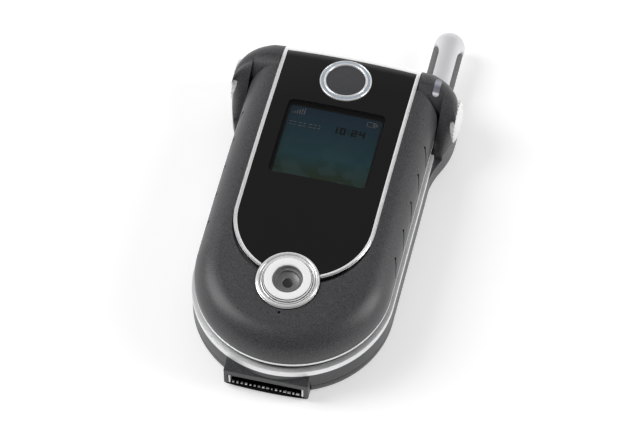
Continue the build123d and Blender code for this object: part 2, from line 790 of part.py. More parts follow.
def base_front_housing():
    """Keypad side of the base: the deck and the upper halves of the ears."""
    form = plate(deck_plan(), band_bottom, base_thickness) + both_sides(upper_ear())
    form -= block((-cheek_inner, cheek_inner), (-FAR, band_end_y), (deck_top, FAR))
    form -= lid_sweep()
    form -= plate(Rectangle(FAR, FAR) - deck_plan(), 0, base_thickness)
    wall = band_width + base_wall
    form -= plate(tongue(base_half_width - wall, base_end_y + wall, block_start_y), 0, deck_bottom)
    for x, y in boss_places:
        boss = Circle(boss_radius) - Circle(screw_radius)
        form += Pos(x, y, 0) * plate(boss, tray_top + fit_gap, deck_bottom)
    for outline in key_outlines().values():
        form -= plate(offset(outline, amount=key_gap), 0, FAR)
    form -= Pos(0, board_low_y + capsule_inset, 0) * Cylinder(port_radius, FAR)
    form -= x_rod(hinge_shaft_radius + shaft_gap, -ear_inner - pin_engagement - fit_gap, 0, hinge_y, hinge_z)
    form -= x_rod(hinge_pin_radius + shaft_gap, 0, ear_inner + pin_engagement + fit_gap, hinge_y, hinge_z)
    form -= status_light_form(fit_gap / 3)
    return form - cap_pockets()


def deck_plan():
    """Plan of the front housing inside the band and inside the rear housing's ears."""
    return tub_plan(band_width + fit_gap / 3)


def cap_pockets():
    """Round seats for the caps in both cheeks."""
    return both_sides(x_rod(cap_radius + fit_gap, cap_seat, FAR, cap_y, cap_z))


def ear_caps():
    """Domed round caps on the outer sides of the ears, with a notched rim."""
    foot = cap_seat + fit_gap
    rim = (foot + cap_reach) / 2
    dome = dome_arc(cap_radius - cap_rim, rim + cap_rim / 2, cap_reach)
    outline = dome + Polyline(dome @ 1, (0, foot), (cap_radius, foot), (cap_radius, rim), dome @ 0)
    cap = revolve(make_face(Plane.XZ * outline), axis=Axis.Z)
    notch = Pos(cap_radius, 0, cap_reach) * Box(cap_notch, cap_notch, 2 * (cap_reach - foot - cap_notch))
    cap -= [Rot(0, 0, 360 / cap_notches * turn) * notch for turn in range(cap_notches)]
    return both_sides(Pos(0, cap_y, cap_z) * Rot(0, 90, 0) * cap)


def status_light_form(gap):
    """Pill-shaped patch of the right ear's top."""
    pill = Pos(light_x, light_y) * Rot(0, 0, 90) * SlotOverall(light_length + 2 * gap, light_width + 2 * gap)
    ring = barrel_solid(cap_reach, -light_proud) - barrel_solid(cap_reach, light_depth + gap)
    return ring & plate(pill, hinge_z, FAR)


def status_light():
    """Light pipe in the right ear."""
    return status_light_form(0)


def base_band():
    """Silver band round the base from ear to ear."""
    outer = tongue(base_half_width, base_end_y, band_end_y - seam_gap)
    inner = tongue(base_half_width - band_width, base_end_y + band_width, band_end_y)
    return plate(outer - inner, band_bottom, base_thickness)


def lower_form(low_z, high_z, y_range):
    """Lower half of the base between two ends, with the back edge rounded."""
    whole = plate(tub_plan(), 0, band_bottom)
    whole = fillet(whole.faces().sort_by(Axis.Z)[0].edges(), back_edge_radius)
    return whole & block((-FAR, FAR), y_range, (low_z, high_z))


def base_rear_housing():
    """Battery side of the base, with the well, the solid hinge end and the lower ears."""
    form = lower_form(0, band_bottom, (-FAR, FAR))
    form -= block((-FAR, FAR), (-FAR, cover_top_y + seam_gap), (-OVERRUN, seam_z))
    inner = tongue(base_half_width - base_wall, base_end_y + base_wall, block_start_y)
    form -= plate(inner, tray_top, FAR)
    ear = plate(ear_outline() - deck_plan(), seam_z, base_thickness)
    form += both_sides(ear - block((0, FAR), (-FAR, band_end_y), (band_bottom, FAR)))
    socket = y_rod(stub_radius, block_start_y, ear_end_y, aerial_x, aerial_z)
    form += socket & block((0, FAR), (0, FAR), (0, band_bottom))
    form -= lid_sweep()
    half = battery_half_width + battery_gap
    low = battery_low_y - battery_gap
    high = battery_high_y + battery_gap
    well = block((-half - well_wall, half + well_wall), (low - well_wall, high + well_wall),
                 (battery_bottom, tray_top))
    form += well
    form -= block((-half, half), (low, high), (-OVERRUN, battery_top + battery_gap))
    for x, y in boss_places:
        form -= Pos(x, y, 0) * plate(Circle(boss_radius + fit_gap), tray_top, FAR)
        form -= Pos(x, y, 0) * Cylinder(screw_radius + fit_gap, 2 * FAR)
        head = plate(Circle(screw_head_radius + fit_gap), -OVERRUN, seam_z + screw_head_height)
        form -= Pos(x, y, 0) * head
    form -= dock_room()
    form -= y_rod(whip_radius + running_gap, stub_start_y - whip_length - cover_wall, FAR, aerial_x, aerial_z)
    form -= y_rod(bush_radius + shaft_gap, ear_end_y - bush_length, FAR, aerial_x, aerial_z)
    form -= sound_ports()
    form -= speaker_room()
    form -= latch_room()
    form -= volume_room()
    return form - cap_pockets()


def battery_cover():
    """Back cover that slides off towards the free end."""
    form = lower_form(0, seam_z - seam_gap, (-FAR, cover_top_y))
    inner = tongue(base_half_width - cover_wall, base_end_y + cover_wall, FAR)
    form -= plate(inner, cover_wall, FAR)
    notch = (dock_x - dock_half_width - running_gap, dock_x + dock_half_width + running_gap)
    return form - block(notch, (-FAR, base_end_y + dock_depth), (dock_bottom - running_gap, FAR))


def battery_pack():
    """Battery in its well."""
    pack = block((-battery_half_width, battery_half_width), (battery_low_y, battery_high_y),
                 (battery_bottom, battery_top))
    return fillet(pack.edges().filter_by(Axis.Z), battery_corner)


def latch_room():
    """Pocket for the latch and its travel in the hinge end's back."""
    half = latch_width / 2 + fit_gap
    high_y = latch_y + latch_length / 2 + latch_travel + fit_gap
    return block((-half, half), (cover_top_y, high_y), (-OVERRUN, latch_recess + latch_height + fit_gap))


def battery_latch():
    """Finger latch with three grooves and a tongue that holds up the battery cover's end."""
    half = latch_width / 2
    low_y = latch_y - latch_length / 2
    high_z = latch_recess + latch_height
    inner = (latch_margin - half, half - latch_margin)
    body = block((-half, half), (low_y, low_y + latch_length), (latch_recess, high_z))
    body += block(inner, (cover_top_y - latch_bite, low_y), (cover_wall + fit_gap, high_z))
    for index in (1, 2, 3):
        y = low_y + index * latch_length / 4
        groove = (y - latch_groove_width / 2, y + latch_groove_width / 2)
        body -= block(inner, groove, (0, latch_recess + latch_groove_depth))
    return body


def main_board():
    """Main circuit board with its screening cans and the microphone."""
    board = plate(tongue(board_half_width, board_low_y, board_high_y), board_bottom, membrane_bottom)
    for x, y in boss_places:
        board -= Pos(x, y, board_bottom) * Cylinder(boss_radius + fit_gap, 4 * board_thickness)
    levels = (board_bottom - shield_height, board_bottom)
    outer = board_half_width - shield_margin
    board += block((-outer, -shield_gap / 2), (shield_split_y, shield_high_y), levels)
    board += block((shield_gap / 2, outer), (shield_low_y, shield_high_y), levels)
    middle_z = membrane_bottom + capsule_height / 2
    return board + Pos(0, board_low_y + capsule_inset, middle_z) * Cylinder(capsule_radius, capsule_height)


def keypad_membrane():
    """Rubber mat under the keys."""
    high_y = soft_key_y + side_key_height / 2
    outline = tongue(board_half_width, number_last_y() - number_height, high_y)
    return plate(outline, membrane_bottom, membrane_top)


def number_last_y():
    """Row centre of the lowest number keys."""
    return number_first_y - 3 * number_pitch_y


def key_outlines():
    """Plan outline of every key on the deck, by name."""
    rows = (("key_1", "key_2", "key_3"), ("key_4", "key_5", "key_6"), ("key_7", "key_8", "key_9"),
            ("star_key", "key_0", "hash_key"))
    keys = {}
    number = RectangleRounded(number_width, number_height, key_corner)
    for row, names in enumerate(rows):
        for column, name in enumerate(names):
            keys[name] = Pos((column - 1) * number_pitch_x, number_first_y - row * number_pitch_y) * number
    side = RectangleRounded(side_key_width, side_key_height, key_corner)
    for x, soft_name, call_name in ((-side_key_x, "left_soft_key", "send_key"),
                                    (side_key_x, "right_soft_key", "end_key")):
        keys[soft_name] = Pos(x, soft_key_y) * side
        keys[call_name] = Pos(x, call_key_y) * side
    keys["clear_key"] = Pos(0, clear_key_y) * RectangleRounded(side_key_width, clear_key_height, key_corner)
    keys["nav_ring"] = Pos(0, nav_y) * Circle(nav_radius)
    return keys


def key_stem(outline):
    """Key top with a chamfered edge, down to its flange's lower face."""
    stem = plate(outline, flange_bottom, key_top)
    return chamfer(stem.faces().sort_by(Axis.Z)[-1].edges(), key_chamfer)


def deck_keys():
    """Every key of the deck, with the flange that keeps it under the deck."""
    keys = {}
    for name, outline in key_outlines().items():
        flange = plate(offset(outline, amount=key_flange + key_gap), flange_bottom, flange_top)
        keys[name] = key_stem(outline) + flange
    middle = Pos(0, nav_y)
    keys["nav_ring"] -= plate(middle * Circle(nav_bore), 0, FAR)
    keys["nav_ring"] -= plate(middle * Circle(nav_bore + key_flange + key_gap), 0, flange_top + key_travel)
    high_z = flange_bottom + key_flange_height / 2
    flange = plate(middle * Circle(nav_bore + key_flange), flange_bottom, high_z)
    keys["select_key"] = key_stem(middle * Circle(select_radius)) + flange
    return keys


def volume_room():
    """Opening for the rocker in the base's left side."""
    half_l = volume_length / 2 + fit_gap
    half_h = volume_height / 2 + fit_gap
    depth = (-base_half_width - OVERRUN, -base_half_width + base_wall + OVERRUN)
    return block(depth, (volume_y - half_l, volume_y + half_l), (volume_z - half_h, volume_z + half_h))


def volume_key():
    """Rocker in the base's left side."""
    half_l = volume_length / 2
    half_h = volume_height / 2
    outer = -base_half_width - volume_proud
    body = block((outer, outer + base_wall + volume_proud), (volume_y - half_l, volume_y + half_l),
                 (volume_z - half_h, volume_z + half_h))
    return chamfer(body.faces().sort_by(Axis.X)[0].edges(), volume_proud / 2)


def stub_blank(shrink):
    """Round stub with a domed tip."""
    radius = stub_radius - shrink
    blank = y_rod(radius, stub_start_y, stub_end_y - shrink, aerial_x, aerial_z)
    return fillet(blank.faces().sort_by(Axis.Y)[-1].edges(), stub_tip_radius - shrink)


def grip_plan():
    """Outline of a grip inlay, seen from the side."""
    start = stub_start_y + grip_start
    centre_y = grip_end_y - grip_half_width
    end = ThreePointArc((centre_y, -grip_half_width), (grip_end_y, 0), (centre_y, grip_half_width))
    rest = Polyline(end @ 1, (start, grip_half_width), (start, -grip_half_width), end @ 0)
    return side_slab(Pos(0, aerial_z) * make_face(end + rest))


def antenna_stub():
    """Silver head of the aerial, with a side recess for each grip."""
    shell = stub_blank(0) - stub_blank(grip_depth)
    stub = stub_blank(0) - (shell & grip_plan())
    return stub - y_rod(whip_radius + shaft_gap, 0, stub_start_y + whip_seat, aerial_x, aerial_z)


def antenna_grips():
    """Dark rubber inlays in the stub's sides."""
    layer = stub_blank(grip_sink) - stub_blank(grip_depth - shaft_gap)
    return layer & grip_plan()


def antenna_whip():
    """Rod that carries the stub and slides in the base."""
    end_y = stub_start_y + whip_seat - fit_gap
    return y_rod(whip_radius, stub_start_y - whip_length, end_y, aerial_x, aerial_z)


def antenna_bush():
    """Metal bush that guides the rod."""
    tube = y_rod(bush_radius, ear_end_y - bush_length + fit_gap, ear_end_y, aerial_x, aerial_z)
    return tube - y_rod(whip_radius + shaft_gap, 0, FAR, aerial_x, aerial_z)


def dock_room():
    """Opening for the dock connector in the rear housing's end."""
    half = dock_half_width + fit_gap
    return block((dock_x - half, dock_x + half), (-FAR, base_end_y + dock_depth + fit_gap),
                 (-OVERRUN, dock_top + fit_gap))


def dock_connector():
    """Connector shell, open towards the free end."""
    half = dock_half_width
    inner = half - dock_wall
    shell = block((dock_x - half, dock_x + half), (dock_reach_y, base_end_y + dock_depth),
                  (dock_bottom, dock_top))
    return shell - block((dock_x - inner, dock_x + inner), (-FAR, base_end_y + dock_depth - dock_wall),
                         (dock_bottom + dock_wall, dock_top - dock_wall))


def dock_contacts():
    """Row of spring contacts under the connector's roof."""
    pitch = 2 * (dock_half_width - 2 * dock_wall) / contact_count
    high = dock_top - dock_wall
    start = base_end_y + dock_depth - dock_wall - contact_length
    strips = []
    for index in range(contact_count):
        x = dock_x + (index - (contact_count - 1) / 2) * pitch
        strips.append(block((x - contact_width / 2, x + contact_width / 2), (start, start + contact_length),
                            (high - contact_height, high)))
    return Part() + strips


def speaker_room():
    """Pockets for the loudspeaker and the vibration motor, closed by the hinge end's roof."""
    high_z = hinge_end_wall + speaker_thickness + 2 * fit_gap
    speaker = plate(Circle(speaker_radius + fit_gap), hinge_end_wall, high_z)
    return Pos(speaker_x, speaker_y, 0) * speaker + motor_rod(fit_gap)


def motor_rod(grow):
    """The motor's round body, grown evenly."""
    reach = motor_length / 2 + grow
    middle_z = hinge_end_wall + motor_radius + fit_gap
    return x_rod(motor_radius + grow, motor_x - reach, motor_x + reach, motor_y, middle_z)


def sound_ports():
    """Slots in the back under the loudspeaker."""
    slots = [plate(Pos(speaker_x, speaker_y + index * 2 * sound_slot_pitch) * SlotOverall(
        sound_slot_length, sound_slot_width), -OVERRUN, hinge_end_wall + OVERRUN) for index in (-1, 0, 1)]
    return Part() + slots


def loudspeaker():
    """Round loudspeaker behind the sound slots."""
    low_z = hinge_end_wall + fit_gap
    return Pos(speaker_x, speaker_y, 0) * plate(Circle(speaker_radius), low_z, low_z + speaker_thickness)


def vibration_motor():
    """Small motor beside the loudspeaker."""
    return motor_rod(0)


def base_screws():
    """Four screws that hold the rear housing to the front housing."""
    low_z = seam_z + fit_gap
    head_height = screw_head_height - 2 * fit_gap
    return Part() + [Pos(x, y, low_z) * screw(screw_head_radius, head_height, screw_length)
                     for x, y in boss_places]


def pieces():
    """Every sub-part by name."""
    makers = (flip_cover, flip_window, flip_trim, flip_edge_trim, badge_ring, badge_disc, camera_bezel,
              camera_ring, camera_module, camera_lens, outer_display, flip_bezel, inner_window,
              inner_display, flip_board, earpiece, flip_bumpers, flip_screws, hinge_can, hinge_shaft,
              hinge_pin, base_front_housing, base_band, base_rear_housing, battery_cover, battery_pack,
              battery_latch, main_board, keypad_membrane, ear_caps, status_light, volume_key,
              antenna_stub, antenna_grips, antenna_whip, antenna_bush, dock_connector, dock_contacts,
              loudspeaker, vibration_motor, base_screws)
    made = {maker.__name__: maker() for maker in makers}
    made.update(deck_keys())
    return made


os.makedirs("parts", exist_ok=True)
for node, shape in pieces().items():
    export_step(shape, f"parts/{node}.step")
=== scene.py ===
import json
import math
import bpy
import bmesh
from mathutils import Matrix, Vector


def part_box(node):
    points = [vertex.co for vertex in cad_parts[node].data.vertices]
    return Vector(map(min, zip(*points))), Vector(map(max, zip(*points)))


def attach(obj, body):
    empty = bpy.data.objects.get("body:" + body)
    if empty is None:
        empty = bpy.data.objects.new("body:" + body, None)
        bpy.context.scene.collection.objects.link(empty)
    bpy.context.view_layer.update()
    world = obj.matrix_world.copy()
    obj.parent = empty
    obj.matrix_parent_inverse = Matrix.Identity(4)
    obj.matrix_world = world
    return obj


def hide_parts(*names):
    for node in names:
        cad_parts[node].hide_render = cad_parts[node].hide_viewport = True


# A closed flip phone in metres: +Z up through the lid, +Y towards the hinge, +X to the right.

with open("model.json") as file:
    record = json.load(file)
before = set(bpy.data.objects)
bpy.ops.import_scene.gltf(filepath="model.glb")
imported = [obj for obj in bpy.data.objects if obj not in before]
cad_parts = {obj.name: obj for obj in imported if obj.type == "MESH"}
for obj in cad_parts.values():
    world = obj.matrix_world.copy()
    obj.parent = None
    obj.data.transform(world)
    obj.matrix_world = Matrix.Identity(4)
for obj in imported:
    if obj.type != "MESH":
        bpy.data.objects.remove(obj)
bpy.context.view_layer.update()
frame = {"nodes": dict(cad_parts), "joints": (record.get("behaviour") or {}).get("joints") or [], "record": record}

MM = 0.001
HINGE = Vector(next(joint["pos_m"] for joint in frame["joints"] if joint["name"] == "flip_hinge"))
WINDOW_LOW, WINDOW_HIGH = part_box("flip_window")
TRIM_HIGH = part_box("flip_trim")[1]
DISPLAY_LOW, DISPLAY_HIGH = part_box("outer_display")
DOCK_LOW, DOCK_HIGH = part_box("dock_connector")
AERIAL_LOW, AERIAL_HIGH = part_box("antenna_stub")

# ---- the lid's surface ----
# The crown is an arc along Y that runs on into the barrel; across X it falls on a second arc.
CROWN_TOP = WINDOW_HIGH.z
BARREL_RADIUS = 7.0 * MM
CROSS_RADIUS = 267.3 * MM
CROWN_RISE = CROWN_TOP - HINGE.z
CROWN_RADIUS = (HINGE.y**2 + CROWN_RISE**2 - BARREL_RADIUS**2) / (2 * (CROWN_RISE - BARREL_RADIUS))
TANGENT = math.asin(HINGE.y / (CROWN_RADIUS - BARREL_RADIUS))


def sag(x):
    """Fall of the crown beside the middle."""
    return CROSS_RADIUS - math.sqrt(CROSS_RADIUS**2 - x * x)


def on_crown(x, y):
    """Point over the lid at x and y, and the way that the surface faces."""
    radius = CROWN_RADIUS - sag(x)
    tilt = math.asin(y / radius)
    normal = Vector((x / CROSS_RADIUS, math.sin(tilt), math.cos(tilt))).normalized()
    centre = CROWN_TOP - CROWN_RADIUS
    return Vector((x, y, centre + radius * math.cos(tilt))), normal


def on_barrel(x, angle, height=0.0):
    """Point on the hinge barrel at an angle above +Y, and the way that the surface faces."""
    radius = BARREL_RADIUS - sag(x)
    normal = Vector((0, math.cos(angle), math.sin(angle)))
    return Vector((x, HINGE.y, HINGE.z)) + normal * (radius + height), normal


def crown_seat(y):
    """Turn and place of a round piece on the lid's ridge."""
    point, normal = on_crown(0, y)
    across = Vector((1, 0, 0))
    turn = Matrix((across, normal.cross(across), normal)).transposed().to_4x4()
    return Matrix.Translation(point) @ turn


# ---- nodes ----
class Nodes:
    """A short way to place and join the nodes of one tree."""

    def __init__(self, tree):
        self.tree = tree

    def add(self, kind, **settings):
        node = self.tree.nodes.new(kind)
        for name, value in settings.items():
            setattr(node, name, value)
        return node

    def put(self, socket, value):
        """Link or plain value into a socket."""
        if isinstance(value, bpy.types.NodeSocket):
            self.tree.links.new(value, socket)
        else:
            socket.default_value = value

    def fill(self, node, **values):
        """Values into a node's named inputs, with _ for each space."""
        for name, value in values.items():
            self.put(node.inputs[name.replace("_", " ")], value)
        return node

    def out(self, kind, **values):
        """First output of a new node with its inputs filled."""
        return self.fill(self.add(kind), **values).outputs[0]

    def give(self, result, **values):
        """Values into the group's outputs; the tree itself."""
        for name, value in values.items():
            self.put(result[name], value)
        return self.tree

    def math(self, operation, *values):
        node = self.add("ShaderNodeMath", operation=operation)
        for socket, value in zip(node.inputs, values):
            self.put(socket, value)
        return node.outputs[0]

    def plus(self, *values):
        return self.math("ADD", *values)

    def minus(self, *values):
        return self.math("SUBTRACT", *values)

    def times(self, *values):
        return self.math("MULTIPLY", *values)

    def larger(self, *values):
        return self.math("MAXIMUM", *values)

    def squared(self, value):
        return self.math("POWER", value, 2.0)

    def root(self, value):
        return self.math("SQRT", value)

    def mix(self, factor, first, second):
        node = self.add("ShaderNodeMix", data_type="RGBA")
        self.put(node.inputs["Factor"], factor)
        self.put(node.inputs[6], first)
        self.put(node.inputs[7], second)
        return node.outputs[2]

    def ramp(self, value, low, high, low_out=0.0, high_out=1.0):
        """Clamped change from one range to another."""
        node = self.add("ShaderNodeMapRange", clamp=True)
        self.fill(node, Value=value, From_Min=low, From_Max=high, To_Min=low_out, To_Max=high_out)
        return node.outputs["Result"]

    def place(self):
        return self.add("ShaderNodeTexCoord").outputs["Object"]

    def split(self, vector=None):
        """Outputs X, Y and Z of a vector, or of the place on the object."""
        node = self.add("ShaderNodeSeparateXYZ")
        self.put(node.inputs[0], self.place() if vector is None else vector)
        return node.outputs

    def vector(self, x=0.0, y=0.0, z=0.0):
        return self.out("ShaderNodeCombineXYZ", X=x, Y=y, Z=z)

    def stretch(self, *scale):
        return self.out("ShaderNodeMapping", Vector=self.place(), Scale=scale)

    def noise(self, scale, detail=2.0, vector=None):
        """Noise over a vector, or over the place on the object."""
        node = self.add("ShaderNodeTexNoise")
        self.fill(node, Vector=self.place() if vector is None else vector, Scale=scale, Detail=detail)
        return node.outputs["Fac"]

    def bump(self, height, strength, distance):
        return self.out("ShaderNodeBump", Height=height, Strength=strength, Distance=distance)

    def join(self, *geometries):
        node = self.add("GeometryNodeJoinGeometry")
        for geometry in geometries:
            self.put(node.inputs[0], geometry)
        return node.outputs[0]


def shader_group(name, *outputs, **inputs):
    """Empty group whose inputs, with _ for each space, and outputs are floats, except for Normal."""
    tree = bpy.data.node_groups.new(name, "ShaderNodeTree")
    for socket, value in inputs.items():
        made = tree.interface.new_socket(
            socket.replace("_", " "), in_out="INPUT", socket_type="NodeSocketFloat")
        made.default_value = value
    for socket in outputs:
        kind = "NodeSocketVector" if socket == "Normal" else "NodeSocketFloat"
        tree.interface.new_socket(socket, in_out="OUTPUT", socket_type=kind)
    nodes = Nodes(tree)
    return nodes, nodes.add("NodeGroupInput").outputs, nodes.add("NodeGroupOutput").inputs


def make_grain_group():
    """Fine moulded or sprayed grain: a mask, and a normal that carries it."""
    nodes, given, result = shader_group(
        "surface_grain", "Mask", "Normal", Grain_Size=0.15 * MM, Depth=0.2, Patches=0.06)
    fine = nodes.noise(nodes.math("DIVIDE", 1.0, given["Grain Size"]), 3.0)
    speckle = nodes.ramp(fine, 0.34, 0.66)
    patches = nodes.ramp(nodes.noise(90.0), 0.3, 0.7)
    level = nodes.times(nodes.minus(patches, 0.5), given["Patches"])
    return nodes.give(
        result, Mask=nodes.plus(speckle, level), Normal=nodes.bump(fine, given["Depth"], 0.05 * MM))


def make_wear_group():
    """Worn edges: 1 where the surface turns sharply, broken up by noise."""
    nodes, given, result = shader_group("edge_wear", "Edge", Radius=0.3 * MM, Amount=1.0)
    round_normal = nodes.add("ShaderNodeBevel", samples=4)
    nodes.fill(round_normal, Radius=given["Radius"])
    true_normal = nodes.add("ShaderNodeNewGeometry").outputs["Normal"]
    product = nodes.add("ShaderNodeVectorMath", operation="DOT_PRODUCT")
    nodes.put(product.inputs[0], round_normal.outputs["Normal"])
    nodes.put(product.inputs[1], true_normal)
    turn = nodes.ramp(product.outputs["Value"], 0.98, 0.8)
    broken = nodes.ramp(nodes.noise(900.0, 3.0), 0.35, 0.65)
    return nodes.give(result, Edge=nodes.times(nodes.times(turn, broken), given["Amount"]))


def make_brush_group():
    """Fine lines along Y, as on brushed or polished metal: a mask and a normal."""
    nodes, given, result = shader_group("brushed_lines", "Mask", "Normal", Fineness=4000.0, Depth=0.1)
    lines = nodes.noise(given["Fineness"], vector=nodes.stretch(1.0, 0.04, 1.0))
    return nodes.give(result, Mask=lines, Normal=nodes.bump(lines, given["Depth"], 0.03 * MM))


def make_smudge_group():
    """Faint wiped smudges and a few specks of dust on gloss."""
    nodes, given, result = shader_group("smudge_and_dust", "Roughness", "Specks", Smudge=0.05, Dust=1.0)
    wiped = nodes.ramp(nodes.noise(70.0, 4.0), 0.45, 0.75)
    cells = nodes.out("ShaderNodeTexVoronoi", Vector=nodes.place(), Scale=420.0)
    specks = nodes.ramp(cells, 0.05, 0.03)
    sparse = nodes.ramp(nodes.noise(260.0, 1.0), 0.66, 0.7)
    return nodes.give(result, Roughness=nodes.times(wiped, given["Smudge"]),
                      Specks=nodes.times(nodes.times(specks, sparse), given["Dust"]))


def make_frame_group():
    """Distance outside a rounded rectangle in the XY plane, below 0 inside it."""
    nodes, given, result = shader_group(
        "rounded_frame", "Distance", Centre_Y=0.0, Half_Width=0.01, Half_Height=0.01, Corner=0.001)
    at = nodes.split()
    past = []
    for value, half in ((at["X"], "Half Width"), (nodes.minus(at["Y"], given["Centre Y"]), "Half Height")):
        inner = nodes.minus(given[half], given["Corner"])
        past.append(nodes.minus(nodes.math("ABSOLUTE", value), inner))
    squares = [nodes.squared(nodes.larger(value, 0.0)) for value in past]
    outside = nodes.root(nodes.plus(*squares))
    inside = nodes.math("MINIMUM", nodes.larger(*past), 0.0)
    return nodes.give(result, Distance=nodes.minus(nodes.plus(outside, inside), given["Corner"]))


def make_bubble_group():
    """Soft round spots of two sizes, 1 at their middles."""
    nodes, given, result = shader_group("soft_bubbles", "Mask", Spots=330.0)
    flat = nodes.stretch(1.0, 1.0, 0.0)
    sizes = []
    for share in (1.0, 0.55):
        cells = nodes.add("ShaderNodeTexVoronoi", feature="SMOOTH_F1")
        nodes.fill(cells, Vector=flat, Scale=nodes.times(given["Spots"], share))
        sizes.append(nodes.ramp(cells.outputs["Distance"], 0.42, 0.36))
    return nodes.give(result, Mask=nodes.larger(*sizes))


GRAIN = make_grain_group()
WEAR = make_wear_group()
BRUSH = make_brush_group()
SMUDGE = make_smudge_group()
ROUNDED = make_frame_group()
BUBBLES = make_bubble_group()


def use(nodes, group, **values):
    """One placed copy of a group with its own values."""
    node = nodes.add("ShaderNodeGroup", node_tree=group)
    return nodes.fill(node, **values).outputs


# ---- materials ----
def grey(level, blue=0.0):
    """Linear colour of an sRGB grey from 0 to 255, with a touch of blue."""
    def linear(value):
        value = min(max(value / 255, 0), 1)
        return value / 12.92 if value <= 0.04045 else ((value + 0.055) / 1.055) ** 2.4
    return linear(level), linear(level), linear(level + blue), 1.0


def material(name, roughness=0.5, metallic=0.0, **sockets):
    """A Principled material, its nodes and the shader."""
    made = bpy.data.materials.new(name)
    made.use_nodes = True
    shader = made.node_tree.nodes["Principled BSDF"]
    nodes = Nodes(made.node_tree)
    nodes.fill(shader, Roughness=roughness, Metallic=metallic, **sockets)
    return made, nodes, shader


def grained(name, dark, light, grain, depth, roughness, metallic=0.0, wear=0.3, worn=None, **sockets):
    """Paint or plastic between two greys with grain in millimetres, lighter on its worn edges."""
    made, nodes, shader = material(name, roughness[0], metallic, **sockets)
    grains = use(nodes, GRAIN, Grain_Size=grain * MM, Depth=depth)
    colour = nodes.mix(grains["Mask"], dark, light)
    edge = use(nodes, WEAR, Amount=wear)["Edge"]
    nodes.fill(shader, Base_Color=nodes.mix(edge, colour, worn or light),
               Roughness=nodes.ramp(grains["Mask"], 0.2, 0.8, *roughness), Normal=grains["Normal"])
    return made


def marking(name, dark, light, roughness):
    """Smooth unworn print or moulding."""
    return grained(name, dark, light, 0.1, 0.05, roughness, wear=0.0)


def brushed(name, dark, light, roughness):
    """Metal or metal coating with fine lines."""
    made, nodes, shader = material(name, roughness[0], 1.0)
    lines = use(nodes, BRUSH)
    nodes.fill(shader, Base_Color=nodes.mix(lines["Mask"], dark, light),
               Roughness=nodes.ramp(lines["Mask"], 0.25, 0.75, *roughness), Normal=lines["Normal"])
    return made


def plated(name, dark, light, roughness, metallic):
    """Smooth plated or silver-painted surface, faintly cloudy."""
    made, nodes, shader = material(name, roughness[0], metallic)
    cloud = nodes.noise(240.0, 3.0)
    nodes.fill(shader, Base_Color=nodes.mix(cloud, dark, light),
               Roughness=nodes.ramp(cloud, 0.3, 0.7, *roughness))
    return made


def glossy(name, dark, light, smudge, dust, **sockets):
    """Polished plastic with faint smudges and dust."""
    made, nodes, shader = material(name, 0.05, **sockets)
    marks = use(nodes, SMUDGE, Smudge=smudge, Dust=dust)
    base = nodes.mix(nodes.noise(50.0), dark, light)
    nodes.fill(shader, Base_Color=nodes.mix(marks["Specks"], base, grey(150)),
               Roughness=nodes.plus(marks["Roughness"], 0.03))
    return made, nodes, shader


SCREEN_EDGE = 1.1 * MM  # dark rim between the clear area and the picture
WINDOW_CORNER = 1.6 * MM
CLEAR_ALPHA = 0.34


def window_material():
    """Black gloss window, clear over the outer display."""
    made, nodes, shader = glossy(
        "window_black", grey(11), grey(14, 1), smudge=0.04, dust=1.0, Coat_Weight=0.3)
    centre = (DISPLAY_LOW + DISPLAY_HIGH) / 2
    half = (DISPLAY_HIGH - DISPLAY_LOW) / 2
    rim = use(nodes, ROUNDED, Centre_Y=centre.y, Half_Width=half.x - SCREEN_EDGE / 2,
              Half_Height=half.y - SCREEN_EDGE / 2, Corner=WINDOW_CORNER)["Distance"]
    nodes.fill(shader, Alpha=nodes.ramp(rim, -0.05 * MM, 0.05 * MM, CLEAR_ALPHA, 1.0))
    return made


SCREEN_TOP = (0.012, 0.030, 0.050, 1)
SCREEN_MIDDLE = (0.016, 0.060, 0.072, 1)
SCREEN_FOOT = (0.020, 0.038, 0.022, 1)
SCREEN_SPOT = (0.040, 0.085, 0.090, 1)
SCREEN_CORNER = 0.8 * MM


def screen_material(name, low, high, up, border, glow):
    """Lit display: graded from blue to green with soft bubbles, inside a dark frame."""
    made, nodes, shader = material(name, 0.35)
    centre = (low + high) / 2
    half = (high - low) / 2
    at = nodes.split()
    level = nodes.times(nodes.minus(at["Y"], centre.y), up / half.y)
    sway = nodes.times(nodes.minus(nodes.noise(90.0), 0.5), 0.5)
    level = nodes.plus(level, sway)
    sky = nodes.mix(nodes.ramp(level, -0.3, 0.8), SCREEN_MIDDLE, SCREEN_TOP)
    picture = nodes.mix(nodes.ramp(level, -0.75, -0.25), SCREEN_FOOT, sky)
    spots = nodes.times(use(nodes, BUBBLES)["Mask"], nodes.ramp(level, 0.2, -0.6, 0.04, 0.4))
    picture = nodes.mix(spots, picture, SCREEN_SPOT)
    distance = use(nodes, ROUNDED, Centre_Y=centre.y - up * 0.1 * border, Half_Width=half.x - border,
                   Half_Height=half.y - 1.1 * border, Corner=SCREEN_CORNER)["Distance"]
    rim = nodes.ramp(distance, -0.03 * MM, 0.03 * MM)
    nodes.fill(shader, Base_Color=nodes.mix(rim, picture, grey(20)), Emission_Strength=glow,
               Emission_Color=nodes.mix(rim, picture, grey(5)))
    return made


def clear_material(name, tint, alpha, **sockets):
    """Clear plastic or glass sheet: faint tint, sharp gloss."""
    made, nodes, shader = glossy(name, tint, tint, smudge=0.05, dust=0.5, **sockets)
    facing = nodes.fill(nodes.add("ShaderNodeLayerWeight"), Blend=0.35).outputs["Facing"]
    nodes.fill(shader, Alpha=nodes.ramp(facing, 0.0, 1.0, alpha, 1.0))
    return made


